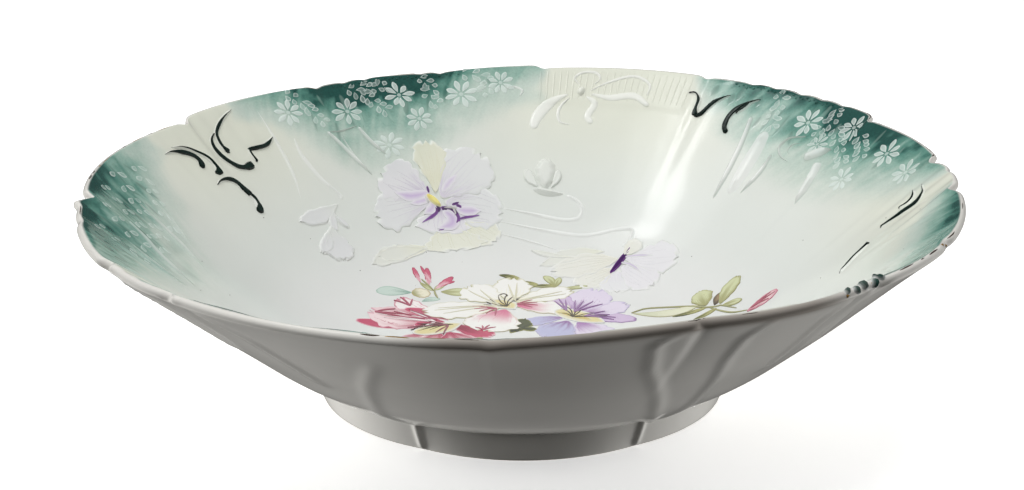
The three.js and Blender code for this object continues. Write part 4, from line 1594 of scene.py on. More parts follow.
@dataclass
class Daisies:
    """Pale daisies and hollow-leaved garlands printed on the green lobes, with brush streaks under them."""

    shop: Workshop
    petal_count: int = 8
    petal_length: float = 5.7
    seed: int = 41
    white: Colour = linear(220, 231, 226)
    opposite_turn: float = -144.0
    places: tuple[tuple[float, float, float], ...] = (
        (130.4, 123.8, 1.0), (119.9, 121.4, 1.05), (110.3, 124.3, 1.0), (107.9, 116.1, 0.95),
        (114.9, 108.4, 1.0),
        (100.0, 122.9, 1.05), (93.4, 125.8, 0.9), (40.4, 123.7, 1.0), (31.5, 126.3, 0.9),
        (20.7, 124.5, 1.05),
        (13.1, 123.4, 1.0), (24.7, 113.3, 0.9), (35.4, 118.6, 0.7),
    )
    garlands: tuple[tuple[Point, ...], ...] = (
        ((129.4, 129.6), (127.2, 126.4), (126.2, 122.4), (124.6, 118.4)),
        ((118.4, 129.0), (116.0, 125.6), (114.6, 122.4), (113.0, 119.0)),
        ((116.4, 128.6), (113.6, 127.4), (111.6, 127.8)),
        ((106.4, 130.0), (104.6, 126.4), (105.4, 122.6), (103.6, 119.6)),
        ((99.4, 129.8), (97.0, 128.8), (95.2, 125.6), (96.8, 122.0)),
        ((48.6, 129.6), (46.8, 126.6), (47.2, 122.6), (45.4, 119.2)),
        ((37.2, 130.0), (36.2, 126.0), (37.4, 122.6), (35.8, 119.4)),
        ((34.6, 124.6), (31.6, 120.8), (29.0, 119.6), (27.4, 116.4)),
        ((28.6, 126.4), (26.6, 123.4), (24.8, 120.4)),
    )
    west_garlands: tuple[tuple[Point, ...], ...] = (
        ((167.0, 125.6), (169.0, 119.4), (172.6, 112.0), (176.2, 106.0)),
        ((172.6, 127.6), (175.0, 121.0), (178.6, 113.0), (182.0, 106.6)),
        ((178.4, 128.0), (181.0, 121.0), (184.6, 113.4), (187.4, 106.0)),
        ((185.6, 127.0), (188.6, 119.0), (190.6, 110.4)),
        ((193.4, 126.6), (195.6, 118.4), (196.6, 110.4)),
    )

    def daisy(self, made: Sprigs, spot: WallSpot) -> None:
        """Prints one daisy: hollow petals with paler edges about a small eye."""
        random = np.random.default_rng(int(self.seed + 10 * spot.azimuth) % 2**31)
        solid = 0.5 + 0.2 * random.random()
        petal = Tint(self.white, self.white, self.white, 1.0)
        for number in range(self.petal_count):
            heading = np.radians((number + random.uniform(-0.14, 0.14)) * FULL_TURN / self.petal_count)
            length = self.petal_length * random.uniform(0.86, 1.1)
            run = np.array([np.sin(heading), np.cos(heading)])
            blade = Blade(tuple(run * 0.9), tuple(run * length), 1.05, full=0.6, roundness=0.8, rows=11,
                columns=9)
            sheet = blade.sheet()
            outline = np.exp(-(((sheet.margin - 0.16) / 0.2) ** 2))
            cover = np.clip(solid * ease(sheet.margin, 0, 0.1) + 0.4 * outline, 0, 0.92)
            made.lay(spot, sheet, Tint(petal.root, petal.body, petal.edge, cover),
                Relief(0.14, edge=0.02, ramp=0.4))
        made.blade(spot, Blade((-0.8, 0), (0.8, 0), 0.8, full=0.5, rows=7, columns=7),
            plain(self.white, 0.5), PRINT)

    def garland(self, made: Sprigs, line: tuple[Point, ...], size: float = 1.0) -> None:
        """Prints one garland: pairs of small hollow leaves along a line."""
        random = np.random.default_rng(int(abs(100 * line[0][0]) + self.seed))
        route = smooth_line(line, max(5, int(2.1 * len(line) / size)))
        for (azimuth, station), ahead in zip(route[:-1], route[1:]):
            spot = WallSpot(self.shop.form, azimuth, station, size=size)
            run = spot.flat(*ahead)
            lean = np.degrees(np.arctan2(run[0], run[1]))
            for side in (-1, 1):
                heading = np.radians(lean + side * random.uniform(35, 70))
                start = 0.5 * np.array([np.sin(heading), np.cos(heading)])
                blade = Blade(tuple(start), tuple(start * random.uniform(5.4, 8.6)), 1.0, roundness=0.8,
                    rows=9, columns=9)
                sheet = blade.sheet()
                outline = np.exp(-(((sheet.margin - 0.14) / 0.17) ** 2))
                cover = np.clip(0.2 * ease(sheet.margin, 0, 0.1) + random.uniform(0.4, 0.8) * outline, 0,
                    0.9)
                made.lay(spot, sheet, Tint(self.white, self.white, self.white, cover),
                    Relief(0.12, edge=0.02, ramp=0.3))

    def streaks(self) -> None:
        """Draws the brush streaks of the green ground, light and dark."""
        random = np.random.default_rng(self.seed)
        made = Sprigs(self.shop, "green_ground_streaks")
        made.layer = 0.03
        dark, light = plain(linear(8, 60, 52), 0.34, feather=0.9), plain(linear(178, 206, 194), 0.26,
            feather=0.9)
        for lobe in GREEN_LOBES:
            for number in range(64):
                azimuth = lobe.centre + random.uniform(-0.92, 0.92) * lobe.half_width
                top = random.uniform(116, 130.6)
                long = random.uniform(3, 9)
                if lobe.depth(np.array(azimuth), np.array(top - long)) < 0.34:
                    continue
                lean = random.uniform(-1.4, 1.4)
                line = ((azimuth, top), (azimuth + lean * 0.4, top - long / 2), (azimuth + lean, top - long))
                tint = dark if number % 3 else light
                made.strand(Strand(line, random.uniform(1.4, 3.0), 0.6, 0.3, rows=11, columns=7), tint,
                    FLUSH)
        made.finish(Finish.GLAZE, Slot.SHELL)

    def build(self) -> None:
        """Prints every daisy and garland, and the hidden lobe's again."""
        self.streaks()
        form = self.shop.form
        daisies = Sprigs(self.shop, "printed_daisies")
        garlands = Sprigs(self.shop, "printed_garlands")
        daisies.layer, garlands.layer = 0.03, 0.01
        for azimuth, station, size in self.places:
            turn = 25 * np.sin(azimuth)
            self.daisy(daisies, WallSpot(form, azimuth, station, turn, size))
            if azimuth < 45:
                self.daisy(daisies, WallSpot(form, azimuth + self.opposite_turn, station, turn, size))
        for line in self.garlands:
            self.garland(garlands, line)
            if line[0][0] < 50:
                self.garland(garlands, tuple((azimuth + self.opposite_turn, station) for azimuth,
                    station in line))
        for line in self.west_garlands:
            self.garland(garlands, line, 1.15)
        daisies.finish(Finish.FLOWERS, Slot.FLOWERS)
        garlands.finish(Finish.FLOWERS, Slot.FLOWERS)


CRIMSON = linear(172, 52, 88)
ROSE = linear(214, 140, 158)
PINK = linear(236, 206, 208)
PETAL_WHITE = linear(244, 243, 239)
OLIVE = linear(158, 156, 98)
DARK_OLIVE = linear(70, 74, 34)
LEAF = linear(208, 212, 166)
MINT_LEAF = linear(200, 218, 208)
IVORY = linear(238, 232, 208)
SOFT_LILAC = linear(226, 216, 234)
VIOLET = linear(136, 84, 152)
BLUE_LILAC = linear(186, 186, 220)
SEPIA = linear(62, 48, 30)


@dataclass
class Bouquet:
    """The printed bouquet in the well: three azaleas with buds, leaves and a trailing spray."""

    shop: Workshop

    def leaves(self) -> list[tuple[Blade, Tint]]:
        """Leaves and buds that lie behind the flowers."""
        green = Tint(OLIVE, LEAF, OLIVE, 0.9, veins=1, root_reach=0.9, edge_width=0.5)
        mint = Tint(linear(120, 160, 144), MINT_LEAF, linear(150, 184, 168), 0.85, veins=1, edge_width=0.5)
        olive = Tint(DARK_OLIVE, linear(176, 174, 118), OLIVE, 0.95, veins=1, root_reach=0.8, edge_width=0.4)
        dark = Tint(linear(40, 44, 22), DARK_OLIVE, OLIVE, 0.95, veins=1.5, root_reach=0.8, edge_width=0.5)
        beige = Tint(OLIVE, IVORY, linear(190, 170, 120), 0.9, edge_width=0.6)
        bud = Tint(linear(234, 196, 204), linear(206, 96, 124), CRIMSON, 0.95, veins=2, root_reach=0.6,
            edge_width=0.3)
        pale = Tint(linear(200, 206, 170), linear(226, 226, 198), linear(190, 184, 140), 0.85,
            edge_width=0.5)
        return [
            (Blade((-35.6, 45.2), (-47.4, 41.6), 2.5, bend=0.06), mint),
            (Blade((-32.4, 40.0), (-26.4, 43.0), 1.5, bend=-0.1), mint),
            (Blade((-26.6, 47.8), (-17.0, 49.4), 2.6, bend=0.04), green),
            (Blade((-33.6, 51.8), (-28.8, 48.0), 1.1), green),
            (Blade((-24.6, 54.0), (-28.6, 48.4), 1.1), green),
            (Blade((-35.8, 44.2), (-29.8, 47.0), 2.9, full=0.5, ruffle=0.05), beige),
            (Blade((-33.2, 51.6), (-36.0, 58.4), 0.9, ruffle=0.06), bud),
            (Blade((-30.4, 50.6), (-31.4, 59.6), 1.1, ruffle=0.06), bud),
            (Blade((-29.6, 52.6), (-33.6, 59.8), 0.6), bud),
            (Blade((-28.4, 49.0), (-22.6, 57.2), 1.2, ruffle=0.06), bud),
            (Blade((-26.8, 52.0), (-22.0, 54.8), 0.6), bud),
            (Blade((-7.6, 60.0), (0.4, 56.4), 1.3, bend=-0.08), olive),
            (Blade((-1.0, 56.8), (5.8, 53.8), 1.7, bend=0.05), olive),
            (Blade((4.6, 54.2), (11.8, 52.8), 1.2), olive),
            (Blade((11.0, 53.0), (7.4, 59.4), 1.5, bend=0.1), green),
            (Blade((11.2, 52.8), (12.8, 58.2), 1.2), green),
            (Blade((11.6, 51.2), (22.0, 52.2), 1.0), green),
            (Blade((-3.6, 13.0), (1.4, 26.0), 3.4, bend=0.06, ruffle=0.09, waves=3), dark),
            (Blade((-0.6, 17.0), (5.0, 16.0), 1.6), dark),
            (Blade((35.4, 30.6), (57.0, 28.6), 2.3, bend=0.07), pale),
            (Blade((48.0, 25.2), (59.0, 25.6), 1.0), olive),
            (Blade((54.0, 19.6), (62.2, 23.0), 1.0), olive),
            (Blade((59.0, 26.8), (57.4, 36.4), 3.4, ruffle=0.07, waves=3), green),
            (Blade((61.6, 25.2), (64.0, 31.0), 1.5), Tint(SEPIA, linear(150, 124, 84), SEPIA, 0.9)),
            (Blade((63.2, 24.6), (70.0, 35.0), 2.7, bend=-0.05, ruffle=0.06), green),
            (Blade((63.8, 23.4), (70.0, 21.4), 1.5), green),
            (Blade((70.6, 12.6), (80.4, 15.2), 2.3, ruffle=0.05), Tint(CRIMSON, PINK, ROSE, 0.9, veins=2)),
            (Blade((-12.0, 9.0), (-24.0, -9.0), 3.6, bend=0.06), green),
            (Blade((8.0, 6.0), (16.0, -12.0), 3.2, bend=-0.06), green),
            (Blade((-2.0, 8.0), (-6.0, -12.0), 3.0, bend=0.05), dark),
            (Blade((-36.0, 4.0), (-50.0, -4.0), 2.8, bend=0.05), mint),
            (Blade((28.0, 8.0), (44.0, 2.0), 2.8, bend=-0.05), mint),
        ]

    def flowers(self) -> list[tuple[Blade, Tint]]:
        """Petals of the three azaleas, the back ones first."""
        rose = Tint(linear(178, 56, 90), linear(245, 222, 224), linear(222, 158, 176), 0.97,
            root_reach=0.95, veins=5.5, edge_width=0.5)
        red = Tint(linear(140, 30, 62), linear(200, 84, 114), linear(236, 196, 204), 0.97, root_reach=0.8,
            veins=3.5, edge_width=0.5)
        blush = Tint(ROSE, linear(247, 240, 238), linear(206, 110, 138), 0.97, root_reach=0.5, veins=3,
            edge_width=0.6)
        white = Tint(IVORY, PETAL_WHITE, linear(204, 200, 166), 0.98, root_reach=0.45, veins=2.5,
            edge_width=0.45)
        streaked = Tint(linear(214, 120, 150), PETAL_WHITE, linear(214, 206, 184), 0.98, root_reach=0.62,
            veins=4,
                        edge_width=0.45)
        lilac = Tint(linear(166, 120, 178), SOFT_LILAC, linear(196, 186, 216), 0.94, root_reach=0.5,
            veins=4, edge_width=0.5)
        violet = Tint(VIOLET, linear(208, 186, 218), linear(172, 140, 188), 0.94, root_reach=0.5, veins=3,
            edge_width=0.5)
        blue = Tint(VIOLET, BLUE_LILAC, linear(196, 190, 220), 0.9, root_reach=0.5, veins=2, edge_width=0.7)
        return [
            (Blade((-26, 15), (-35, -1), 7.5, ruffle=0.07), rose),
            (Blade((-23, 14), (-16, -3), 7.0, ruffle=0.07), rose),
            (Blade((-28, 17), (-53, 21), 3.4, bend=0.04), red),
            (Blade((-26, 26), (-39.6, 41.0), 5.2, bend=-0.08, ruffle=0.07), blush),
            (Blade((-24, 22), (-49, 29.5), 8.4, bend=-0.05, ruffle=0.09, waves=5), rose),
            (Blade((-23, 24), (-38, 34), 3.2, bend=0.08), red),
            (Blade((-25, 22), (-34, 18.5), 3.6, bend=0.05), red),
            (Blade((-22, 20), (-8.6, 10), 4.4, ruffle=0.07), red),
            (Blade((15, 24), (8, 9), 6.4, ruffle=0.07), blue),
            (Blade((18, 23), (27, 8), 6.4, ruffle=0.07), lilac),
            (Blade((14, 27), (0, 20), 3.4, bend=0.06, ruffle=0.06), blue),
            (Blade((19, 27), (37, 25), 3.9, bend=-0.04, ruffle=0.06), violet),
            (Blade((19, 29), (34.5, 38.5), 5.2, ruffle=0.08), lilac),
            (Blade((17, 30), (25, 50), 7.4, full=0.66, ruffle=0.08, waves=5), lilac),
            (Blade((15, 30), (11.4, 48.4), 4.2, ruffle=0.07), violet),
            (Blade((-4, 41), (-2.4, 58.6), 6.4, full=0.66, ruffle=0.08), white),
            (Blade((-6, 39), (-18, 52.4), 7.0, full=0.66, ruffle=0.09, waves=5), white),
            (Blade((-2, 40), (17, 50.5), 5.2, ruffle=0.08, bend=-0.04), white),
            (Blade((-2, 37), (16, 34.5), 5.4, ruffle=0.08), streaked),
            (Blade((-6, 36), (-32, 31), 7.6, full=0.62, ruffle=0.08, waves=5), white),
            (Blade((-5, 34), (-12, 14), 9.2, full=0.64, ruffle=0.08, waves=5), streaked),
        ]

    def strokes(self) -> list[tuple[tuple[Point, ...], float, Tint]]:
        """Brush strokes over the petals: throats, veins, stamens and stems."""
        crimson, dark, deep = plain(CRIMSON, 0.85), plain(SEPIA, 0.95), plain(linear(132, 28, 60), 0.85)
        purple, yellow = plain(VIOLET, 0.85), plain(linear(206, 184, 92), 0.85, feather=0.8)
        soft_yellow, olive = plain(linear(224, 208, 136), 0.8, feather=1.5), plain(OLIVE, 0.85)
        drawn = [
            (((-34, 12.5), (-27, 16), (-19, 21)), 8.4, soft_yellow),
            (((-9.6, 42), (-5, 38), (-2, 34)), 7.6, soft_yellow),
            (((-7.4, 40), (-5, 37.6), (-3.4, 35.6)), 3.2, yellow),
            (((11, 33), (18, 28), (26.5, 22)), 9.0, soft_yellow),
            (((12.6, 31), (18, 27), (23, 23.8)), 4.2, yellow),
            (((35.4, 30.7), (40.8, 33.4), (52.6, 30.1), (60.2, 24.9), (63.3, 23.9), (68, 18)), 0.6, olive),
            (((-28.6, 48.6), (-28.2, 46), (-27.2, 43)), 0.6, olive),
            (((-33, 53.4), (-30.4, 50.4), (-28.6, 47.6)), 0.5, olive),
            (((60, 24.8), (66, 17), (71, 13.4)), 0.5, olive),
            (((11.4, 52.6), (6, 53), (2, 54.6)), 0.5, olive),
        ]
        throat_across, throat_up = -22, 19.5
        for reach, lean in ((11, -24), (12, -16), (10, -8), (12, 0), (13, 8), (10, 16), (12, 26), (9, 38)):
            across = throat_across - reach * np.cos(np.radians(lean))
            up = throat_up - reach * 0.6 * np.sin(np.radians(lean + 24))
            middle = ((throat_across + across) / 2, (throat_up + up) / 2 + 1.2)
            drawn.append((((-21.5, 20), middle, (across, up)), 0.45, dark))
        for tip in ((-7.6, 46.2), (-4.8, 47.4), (-2.4, 46.2), (-10.4, 43.2), (-11.6, 40.6), (-12.4, 38.2),
            (-0.6, 43.6)):
            drawn.append((((-4.6, 36), ((-4.6 + tip[0]) / 2 - 0.8, (36 + tip[1]) / 2), tip), 0.45, dark))
        drawn.append((((-7.6, 46.2), (-5.8, 47.8), (-4.6, 46.2), (-5.6, 44.8)), 0.45, dark))
        for tip in ((11.6, 30.4), (12.8, 34.2), (14.6, 36.2), (17.4, 35.4), (19.6, 33.8), (24.8, 31.2),
            (27.6, 28.0), (28.6, 25.0)):
            drawn.append((((16.4, 26.6), ((16.4 + tip[0]) / 2 + 0.6, (26.6 + tip[1]) / 2 + 1), tip), 0.45,
                dark))
        pearl, beige = plain(linear(246, 232, 234), 0.8), plain(linear(212, 206, 172), 0.7)
        fan = (
            (pearl, (-27, 22), ((-44, 25.4), (-46.4, 28), (-40, 31.4), (-35.6, 31.8), (-31, 18))),
            (beige, (-7, 37), ((-28, 32.6), (-25, 29.6), (-27, 34.6), (-17.4, 49.6), (-13.6, 50.4))),
            (beige, (-2, 41), ((13.4, 49.4), (14.6, 47.4), (-1.4, 55.6), (-4.4, 54.6))),
            (crimson, (-8, 34.6), ((-16, 36.2), (-15.4, 33.8), (-13.6, 31.6), (-11.4, 29.2), (-8.4, 27.6))),
            (crimson, (-1.6, 38.2), ((3.6, 42.2), (5.2, 40), (5.4, 37.4), (3.6, 35.4))),
            (deep, (-23, 19), ((-36, 17.4), (-33, 20.6), (-30, 22.8), (-27, 12.6), (-24.6, 11.2))),
            (crimson, (-27, 24), ((-41, 30.6), (-38.6, 26.4), (-43, 27), (-36.4, 33.2))),
            (crimson, (-36, 36), ((-41.4, 38.4), (-39.4, 41), (-35.4, 40.6))),
            (crimson, (-12, 15), ((-10, 19.4), (-12.4, 19), (-14.6, 17.4), (-8, 17.6))),
            (crimson, (-47, 28.6), ((-38, 29), (-40.6, 32.6), (-37, 26.6))),
            (purple, (17, 31), ((20.4, 41.6), (23.4, 40.8), (17.6, 42), (26.4, 38.4))),
            (purple, (20, 27.4), ((28.4, 28.8), (30.2, 26.4), (29.6, 24.4), (27, 32))),
            (purple, (14.6, 32), ((12.2, 43.4), (10.8, 41), (14.4, 42.4))),
            (crimson, (72, 13.4), ((78.6, 15.8), (79.6, 14.4), (77.6, 12.8))),
        )
        for tint, start, tips in fan:
            for tip in tips:
                middle = ((start[0] + tip[0]) / 2, (start[1] + tip[1]) / 2 + 0.5)
                drawn.append(((start, middle, tip), 0.6, tint))
        return drawn

    def build(self) -> None:
        """Prints the bouquet in layers, the back one first."""
        well = WellSpot()
        for name, blades in (("bouquet_leaves", self.leaves()), ("bouquet_petals", self.flowers())):
            made = Sprigs(self.shop, name)
            made.layer = 0.0 if name == "bouquet_leaves" else 0.05
            for blade, tint in blades:
                made.blade(well, blade, tint)
                made.hairlines(well, blade, tint, 0.9, 15)
                made.layer += 0.009
            made.finish(Finish.FLOWERS, Slot.FLOWERS)
        made = Sprigs(self.shop, "bouquet_brush_strokes")
        made.layer = 0.26
        for line, width, tint in self.strokes():
            made.flat_strand(well, Strand(line, width, 0.7, 0.3, rows=17), tint)
            made.layer += 0.002
        made.finish(Finish.FLOWERS, Slot.FLOWERS)


@dataclass
class Lip:
    """Worn gilding and brown edging on the lip, its moulded beads, and specks from the kiln."""

    shop: Workshop
    seed: int = 7
    bead_radius: float = 0.55
    speck_radius: float = 0.22

    def edging(self) -> None:
        """Lays the rubbed dashes of brown edging and gilt along the crest."""
        random = np.random.default_rng(self.seed)
        form = self.shop.form
        brown, gold = plain(linear(58, 42, 30)), plain(linear(190, 150, 88))
        made = Sprigs(self.shop, "lip_edging")
        gilt = Sprigs(self.shop, "lip_gilding")
        stretches = ((-30, 34, 0.5), (-180, -141, 0.3), (-141, -112, 0.1), (-108, -96, 0.85),
            (-96, -60, 0.2), (-58, -30, 0.3), (40, 60, 0.4), (96, 132, 0.35), (150, 187, 0.75))
        for start, end, share in stretches:
            azimuth = start
            while azimuth < end:
                long = random.uniform(0.7, 3.6)
                station = form.crest + random.uniform(-0.15, 0.35)
                line = tuple((azimuth + long * k / 3, station + random.uniform(-0.06,
                    0.06)) for k in range(4))
                if random.random() < share:
                    target, tint = (gilt, gold) if random.random() < 0.2 else (made, brown)
                    target.strand(Strand(line, random.uniform(0.25, 0.6), 0.4, 0.4, rows=13, columns=5),
                        tint, PRINT)
                azimuth += long + random.uniform(0.3, 2.2)
        for azimuth, station in ((-48.9, 132.6), (-43.9, 132.2), (-41.7, 132.9), (-24.4, 132.4),
            (-25.4, 131.6)):
            spot = WallSpot(form, azimuth, station)
            gilt.blade(spot, Blade((-0.9, 0), (0.9, 0.3), 0.7, rows=9, columns=7), gold,
                Relief(0.6, edge=-0.1))
        made.finish(Finish.FLOWERS, Slot.GILDING)
        gilt.finish(Finish.GILT, Slot.GILDING)

    def beading(self) -> None:
        """Builds the cluster of moulded beads at the right front of the rim."""
        made = Sprigs(self.shop, "rim_beading_moulded")
        # The beads' white edges are a painted highlight.
        green = Tint(linear(6, 40, 34), linear(14, 58, 50), PAINTED_HIGHLIGHT, 0.95, edge_width=0.7)
        crest = self.shop.form.crest
        for azimuth, above, size in (
            (-48.6, 0.3, 1.2), (-46.9, 0.8, 1.5), (-45.2, 0.2, 1.8), (-43.6, 1.2, 1.4), (-42.4, -0.1, 1.6),
            (-41.2, 1.1, 1.3), (-40.2, -0.2, 1.2),
        ):
            station = crest + above
            spot = WallSpot(self.shop.form, azimuth, station, 30 * azimuth, size)
            made.blade(spot, Blade((-1.3, 0), (1.5, 0.2), 1.1, full=0.5, rows=11), green,
                Relief(1.0, 0, 0.4, 0.9, -0.15))
        made.finish(Finish.GLAZE, Slot.RELIEF, "rim_beading")

    def tree(self, name: str, radius: float, finish: Finish) -> GuidedTree:
        """Builds a node tree that sets a small bead of varied size on each guide point."""
        made = GuidedTree(name)
        made.value("Bead Radius", "NodeSocketFloat", radius * TO_METRES)
        made.value("Smallest", "NodeSocketFloat", 0.6)
        made.value("Seed", "NodeSocketInt", self.seed)
        nodes = made.tree.nodes
        bead = nodes.new("GeometryNodeMeshIcoSphere")
        bead.inputs["Subdivisions"].default_value = 2
        vary = nodes.new("FunctionNodeRandomValue")
        place = nodes.new("GeometryNodeInstanceOnPoints")
        low = next(socket for socket in vary.inputs if socket.name == "Min" and socket.type == "VALUE")
        out = next(socket for socket in vary.outputs if socket.type == "VALUE")
        made.link(made.source.outputs["Bead Radius"], bead.inputs["Radius"])
        made.link(made.source.outputs["Smallest"], low)
        made.link(made.source.outputs["Seed"], vary.inputs["Seed"])
        made.link(made.source.outputs["Guide"], place.inputs["Points"])
        made.link(bead.outputs["Mesh"], place.inputs["Instance"])
        made.link(out, place.inputs["Scale"])
        made.close(place.outputs["Instances"], self.shop.materials[finish])
        return made

    def scatter(
        self, name: str, slot: Slot, tree: GuidedTree, places: Array, lift: float,
        colour: Colour | None = None
    ) -> None:
        """Runs a bead tree on places given as azimuths and stations, in a colour or the ground's own."""
        points = self.shop.form.on(places[:, 0], places[:, 1], lift)
        piece = tree.run(name, points, np.zeros((0, 2), int))
        count = len(piece.data.vertices)
        if colour:
            paint = np.tile(colour, (count, 1))
        else:
            corners = np.zeros(count * 3)
            piece.data.vertices.foreach_get("co", corners)
            azimuth, station = self.shop.form.station_of(corners.reshape(-1, 3) / TO_METRES)
            paint = self.shop.ground.colour(azimuth, station)
        self.shop.colour(piece.data, paint)
        self.shop.hand_over(piece, Finish.FLOWERS, slot)

    def specks(self) -> None:
        """Scatters the few dark specks of the firing."""
        random = np.random.default_rng(self.seed)
        places = np.stack([random.uniform(-180, 180, 46), random.uniform(40, 126, 46)], axis=-1)
        tree = self.tree("kiln_speck_scatter", self.speck_radius, Finish.FLOWERS)
        self.scatter("kiln_specks", Slot.SHELL, tree, places, -0.1, linear(74, 66, 56))

    def beads(self) -> None:
        """Sets a row of small beads along the scalloped stretches of the lip."""
        rows = [np.arange(start, end, 0.62) for start, end in ((36, 56), (100, 121))]
        azimuth = np.concatenate(rows)
        station = np.full_like(azimuth, self.shop.form.crest - 1.1) - 0.5 * (np.arange(len(azimuth)) % 2)
        tree = self.tree("lip_bead_row", self.bead_radius, Finish.GLAZE)
        lift = 0.05 - 0.3 * self.bead_radius
        self.scatter("lip_beads", Slot.RELIEF, tree, np.stack([azimuth, station], axis=-1), lift)

    def build(self) -> None:
        """Dresses the lip."""
        self.edging()
        self.beading()
        self.beads()
        self.specks()


# ---- Studio ---------------------------------------------------------------------------------------


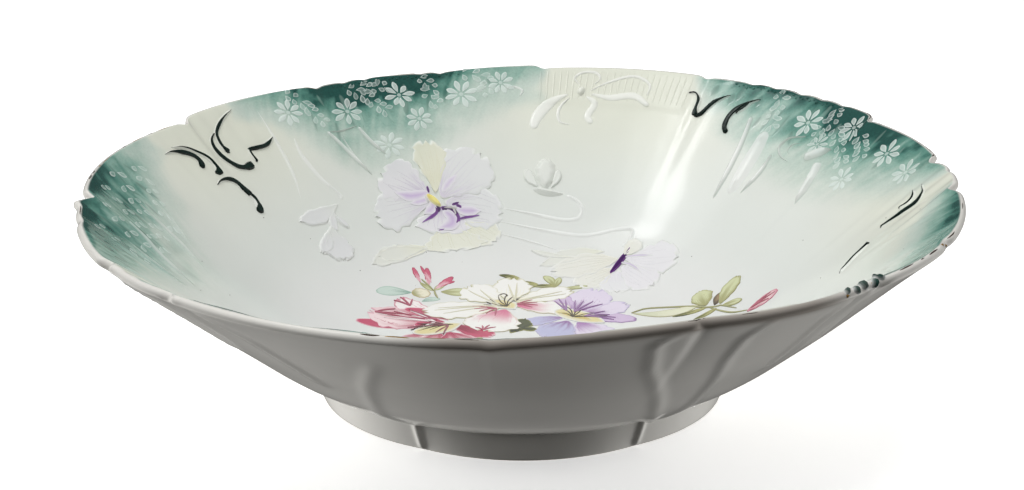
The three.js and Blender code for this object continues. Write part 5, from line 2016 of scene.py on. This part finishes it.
@dataclass
class Studio:
    """A pale floor, soft light from above and the camera."""

    camera_distance: float = 0.75
    camera_elevation: float = 22.357
    focal_length: float = 84.69
    aim: tuple[float, float, float] = (-0.00287, 0.0, 0.04392)
    floor_size: float = 6.0
    floor_glow: float = 0.45

    def camera(self) -> None:
        """Places the camera and makes it the scene's."""
        lens = bpy.data.cameras.new("camera")
        lens.lens = self.focal_length
        lens.clip_start, lens.clip_end = 0.01, 50
        camera = bpy.data.objects.new("camera", lens)
        tilt = np.radians(self.camera_elevation)
        camera.location = (0, -self.camera_distance * np.cos(tilt), self.camera_distance * np.sin(tilt))
        camera.rotation_euler = (Vector(self.aim) - camera.location).to_track_quat("-Z", "Y").to_euler()
        bpy.context.scene.collection.objects.link(camera)
        bpy.context.scene.camera = camera

    def soft_box(
        self, name: str, place: Vector, size: tuple[float, float], power: float, reflected: bool = False
    ) -> None:
        """Adds one rectangular soft light that faces the bowl.

        Args:
            name: Name of the light.
            place: Where it hangs, in metres.
            size: Its two sides in metres.
            power: Its power in watts.
            reflected: Whether the glaze mirrors it.
        """
        data = bpy.data.lights.new(name, "AREA")
        data.shape = "ELLIPSE"
        data.size, data.size_y = size
        data.energy = power
        light = bpy.data.objects.new(name, data)
        light.location = place
        light.rotation_euler = (Vector((0, 0, 0.04)) - place).to_track_quat("-Z", "Y").to_euler()
        light.visible_glossy = reflected
        bpy.context.scene.collection.objects.link(light)

    def lights(self) -> None:
        """Hangs the soft boxes and sets the low bounce boards."""
        self.soft_box("window_core", Vector((-0.50, 0.24, 1.15)), (0.15, 0.15), 0.30, reflected=True)
        self.soft_box("window_halo", Vector((-0.50, 0.28, 1.17)), (0.46, 0.50), 0.52, reflected=True)
        self.soft_box("overhead", Vector((-0.1, 0.15, 1.6)), (1.6, 1.2), 12.0)
        self.soft_box("west_box", Vector((-1.0, -0.3, 0.45)), (0.8, 0.6), 2.6)
        self.soft_box("bounce_west", Vector((-0.82, 0.42, -0.48)), (0.5, 0.5), 17.5)
        self.soft_box("bounce_east", Vector((0.86, 0.38, -0.48)), (0.5, 0.5), 13.5)

    def world(self) -> None:
        """A white backdrop that lights the bowl mostly from above."""
        world = bpy.data.worlds.new("studio")
        bpy.context.scene.world = world
        world.use_nodes = True
        nodes, links = world.node_tree.nodes, world.node_tree.links
        nodes.clear()
        seen, lit = nodes.new("ShaderNodeBackground"), nodes.new("ShaderNodeBackground")
        seen.inputs["Color"].default_value = (1, 1, 1, 1)
        seen.inputs["Strength"].default_value = 1.0
        place = nodes.new("ShaderNodeTexCoord")
        split = nodes.new("ShaderNodeSeparateXYZ")
        ramp = nodes.new("ShaderNodeValToRGB")
        height = nodes.new("ShaderNodeMapRange")
        height.inputs["From Min"].default_value = -1
        links.new(place.outputs["Generated"], split.inputs["Vector"])
        links.new(split.outputs["Z"], height.inputs["Value"])
        links.new(height.outputs["Result"], ramp.inputs["Fac"])
        stops = ramp.color_ramp.elements
        stops[0].position, stops[0].color = 0.47, (0.036, 0.034, 0.032, 1)
        stops[1].position, stops[1].color = 0.80, (0.93, 0.93, 0.925, 1)
        links.new(ramp.outputs["Color"], lit.inputs["Color"])
        path, mix = nodes.new("ShaderNodeLightPath"), nodes.new("ShaderNodeMixShader")
        dimmed = nodes.new("ShaderNodeMapRange")
        dimmed.inputs["To Min"].default_value = 0.61
        dimmed.inputs["To Max"].default_value = 0.3
        links.new(path.outputs["Is Glossy Ray"], dimmed.inputs["Value"])
        links.new(dimmed.outputs["Result"], lit.inputs["Strength"])
        out = nodes.new("ShaderNodeOutputWorld")
        links.new(path.outputs["Is Camera Ray"], mix.inputs["Fac"])
        links.new(lit.outputs["Background"], mix.inputs[1])
        links.new(seen.outputs["Background"], mix.inputs[2])
        links.new(mix.outputs["Shader"], out.inputs["Surface"])

    def floor(self) -> None:
        """A pale floor that takes the bowl's shadow and throws no light back up."""
        half = self.floor_size / 2
        data = bpy.data.meshes.new("floor")
        data.from_pydata([(-half, -half, 0), (half, -half, 0), (half, half, 0), (-half, half, 0)], [],
            [(0, 1, 2, 3)])
        floor = bpy.data.objects.new("floor", data)
        bpy.context.scene.collection.objects.link(floor)
        paper = bpy.data.materials.new("pale_paper")
        paper.use_nodes = True
        nodes, links = paper.node_tree.nodes, paper.node_tree.links
        shader = nodes["Principled BSDF"]
        shader.inputs["Roughness"].default_value = 0.9
        shader.inputs["Specular IOR Level"].default_value = 0.1
        shader.inputs["Emission Color"].default_value = (1, 1, 1, 1)
        shader.inputs["Emission Strength"].default_value = self.floor_glow
        place, grain = nodes.new("ShaderNodeTexCoord"), nodes.new("ShaderNodeTexNoise")
        grain.inputs["Scale"].default_value = 300.0
        tone = nodes.new("ShaderNodeMapRange")
        tone.inputs["To Min"].default_value = 0.93
        tone.inputs["To Max"].default_value = 0.97
        links.new(place.outputs["Object"], grain.inputs["Vector"])
        links.new(grain.outputs["Fac"], tone.inputs["Value"])
        links.new(tone.outputs["Result"], shader.inputs["Base Color"])
        data.materials.append(paper)
        floor.visible_diffuse = False
        floor.visible_glossy = False
        floor.visible_shadow = False

    def build(self) -> None:
        """Sets up the whole studio."""
        self.camera()
        self.world()
        self.lights()
        self.floor()
        bpy.context.scene.view_settings.view_transform = "Standard"


def main() -> None:
    """Builds the studio and every piece of the bowl in order."""
    logging.basicConfig(level=logging.INFO, format="%(name)s %(message)s")
    Studio().build()
    shop = Workshop(BowlForm(), Ground())
    Shell(shop).build()
    FootRing(shop).build()
    FanFlutes(shop).build()
    Ribbon(shop).build()
    LargeBlossom(shop).build()
    SmallBlossom(shop).build()
    Bud(shop).build()
    BellBlossom(shop).build()
    Stems(shop).build()
    Drapery(shop).build()
    Scrolls(shop).build()
    Daisies(shop).build()
    Bouquet(shop).build()
    Lip(shop).build()


if __name__ == "__main__":
    main()
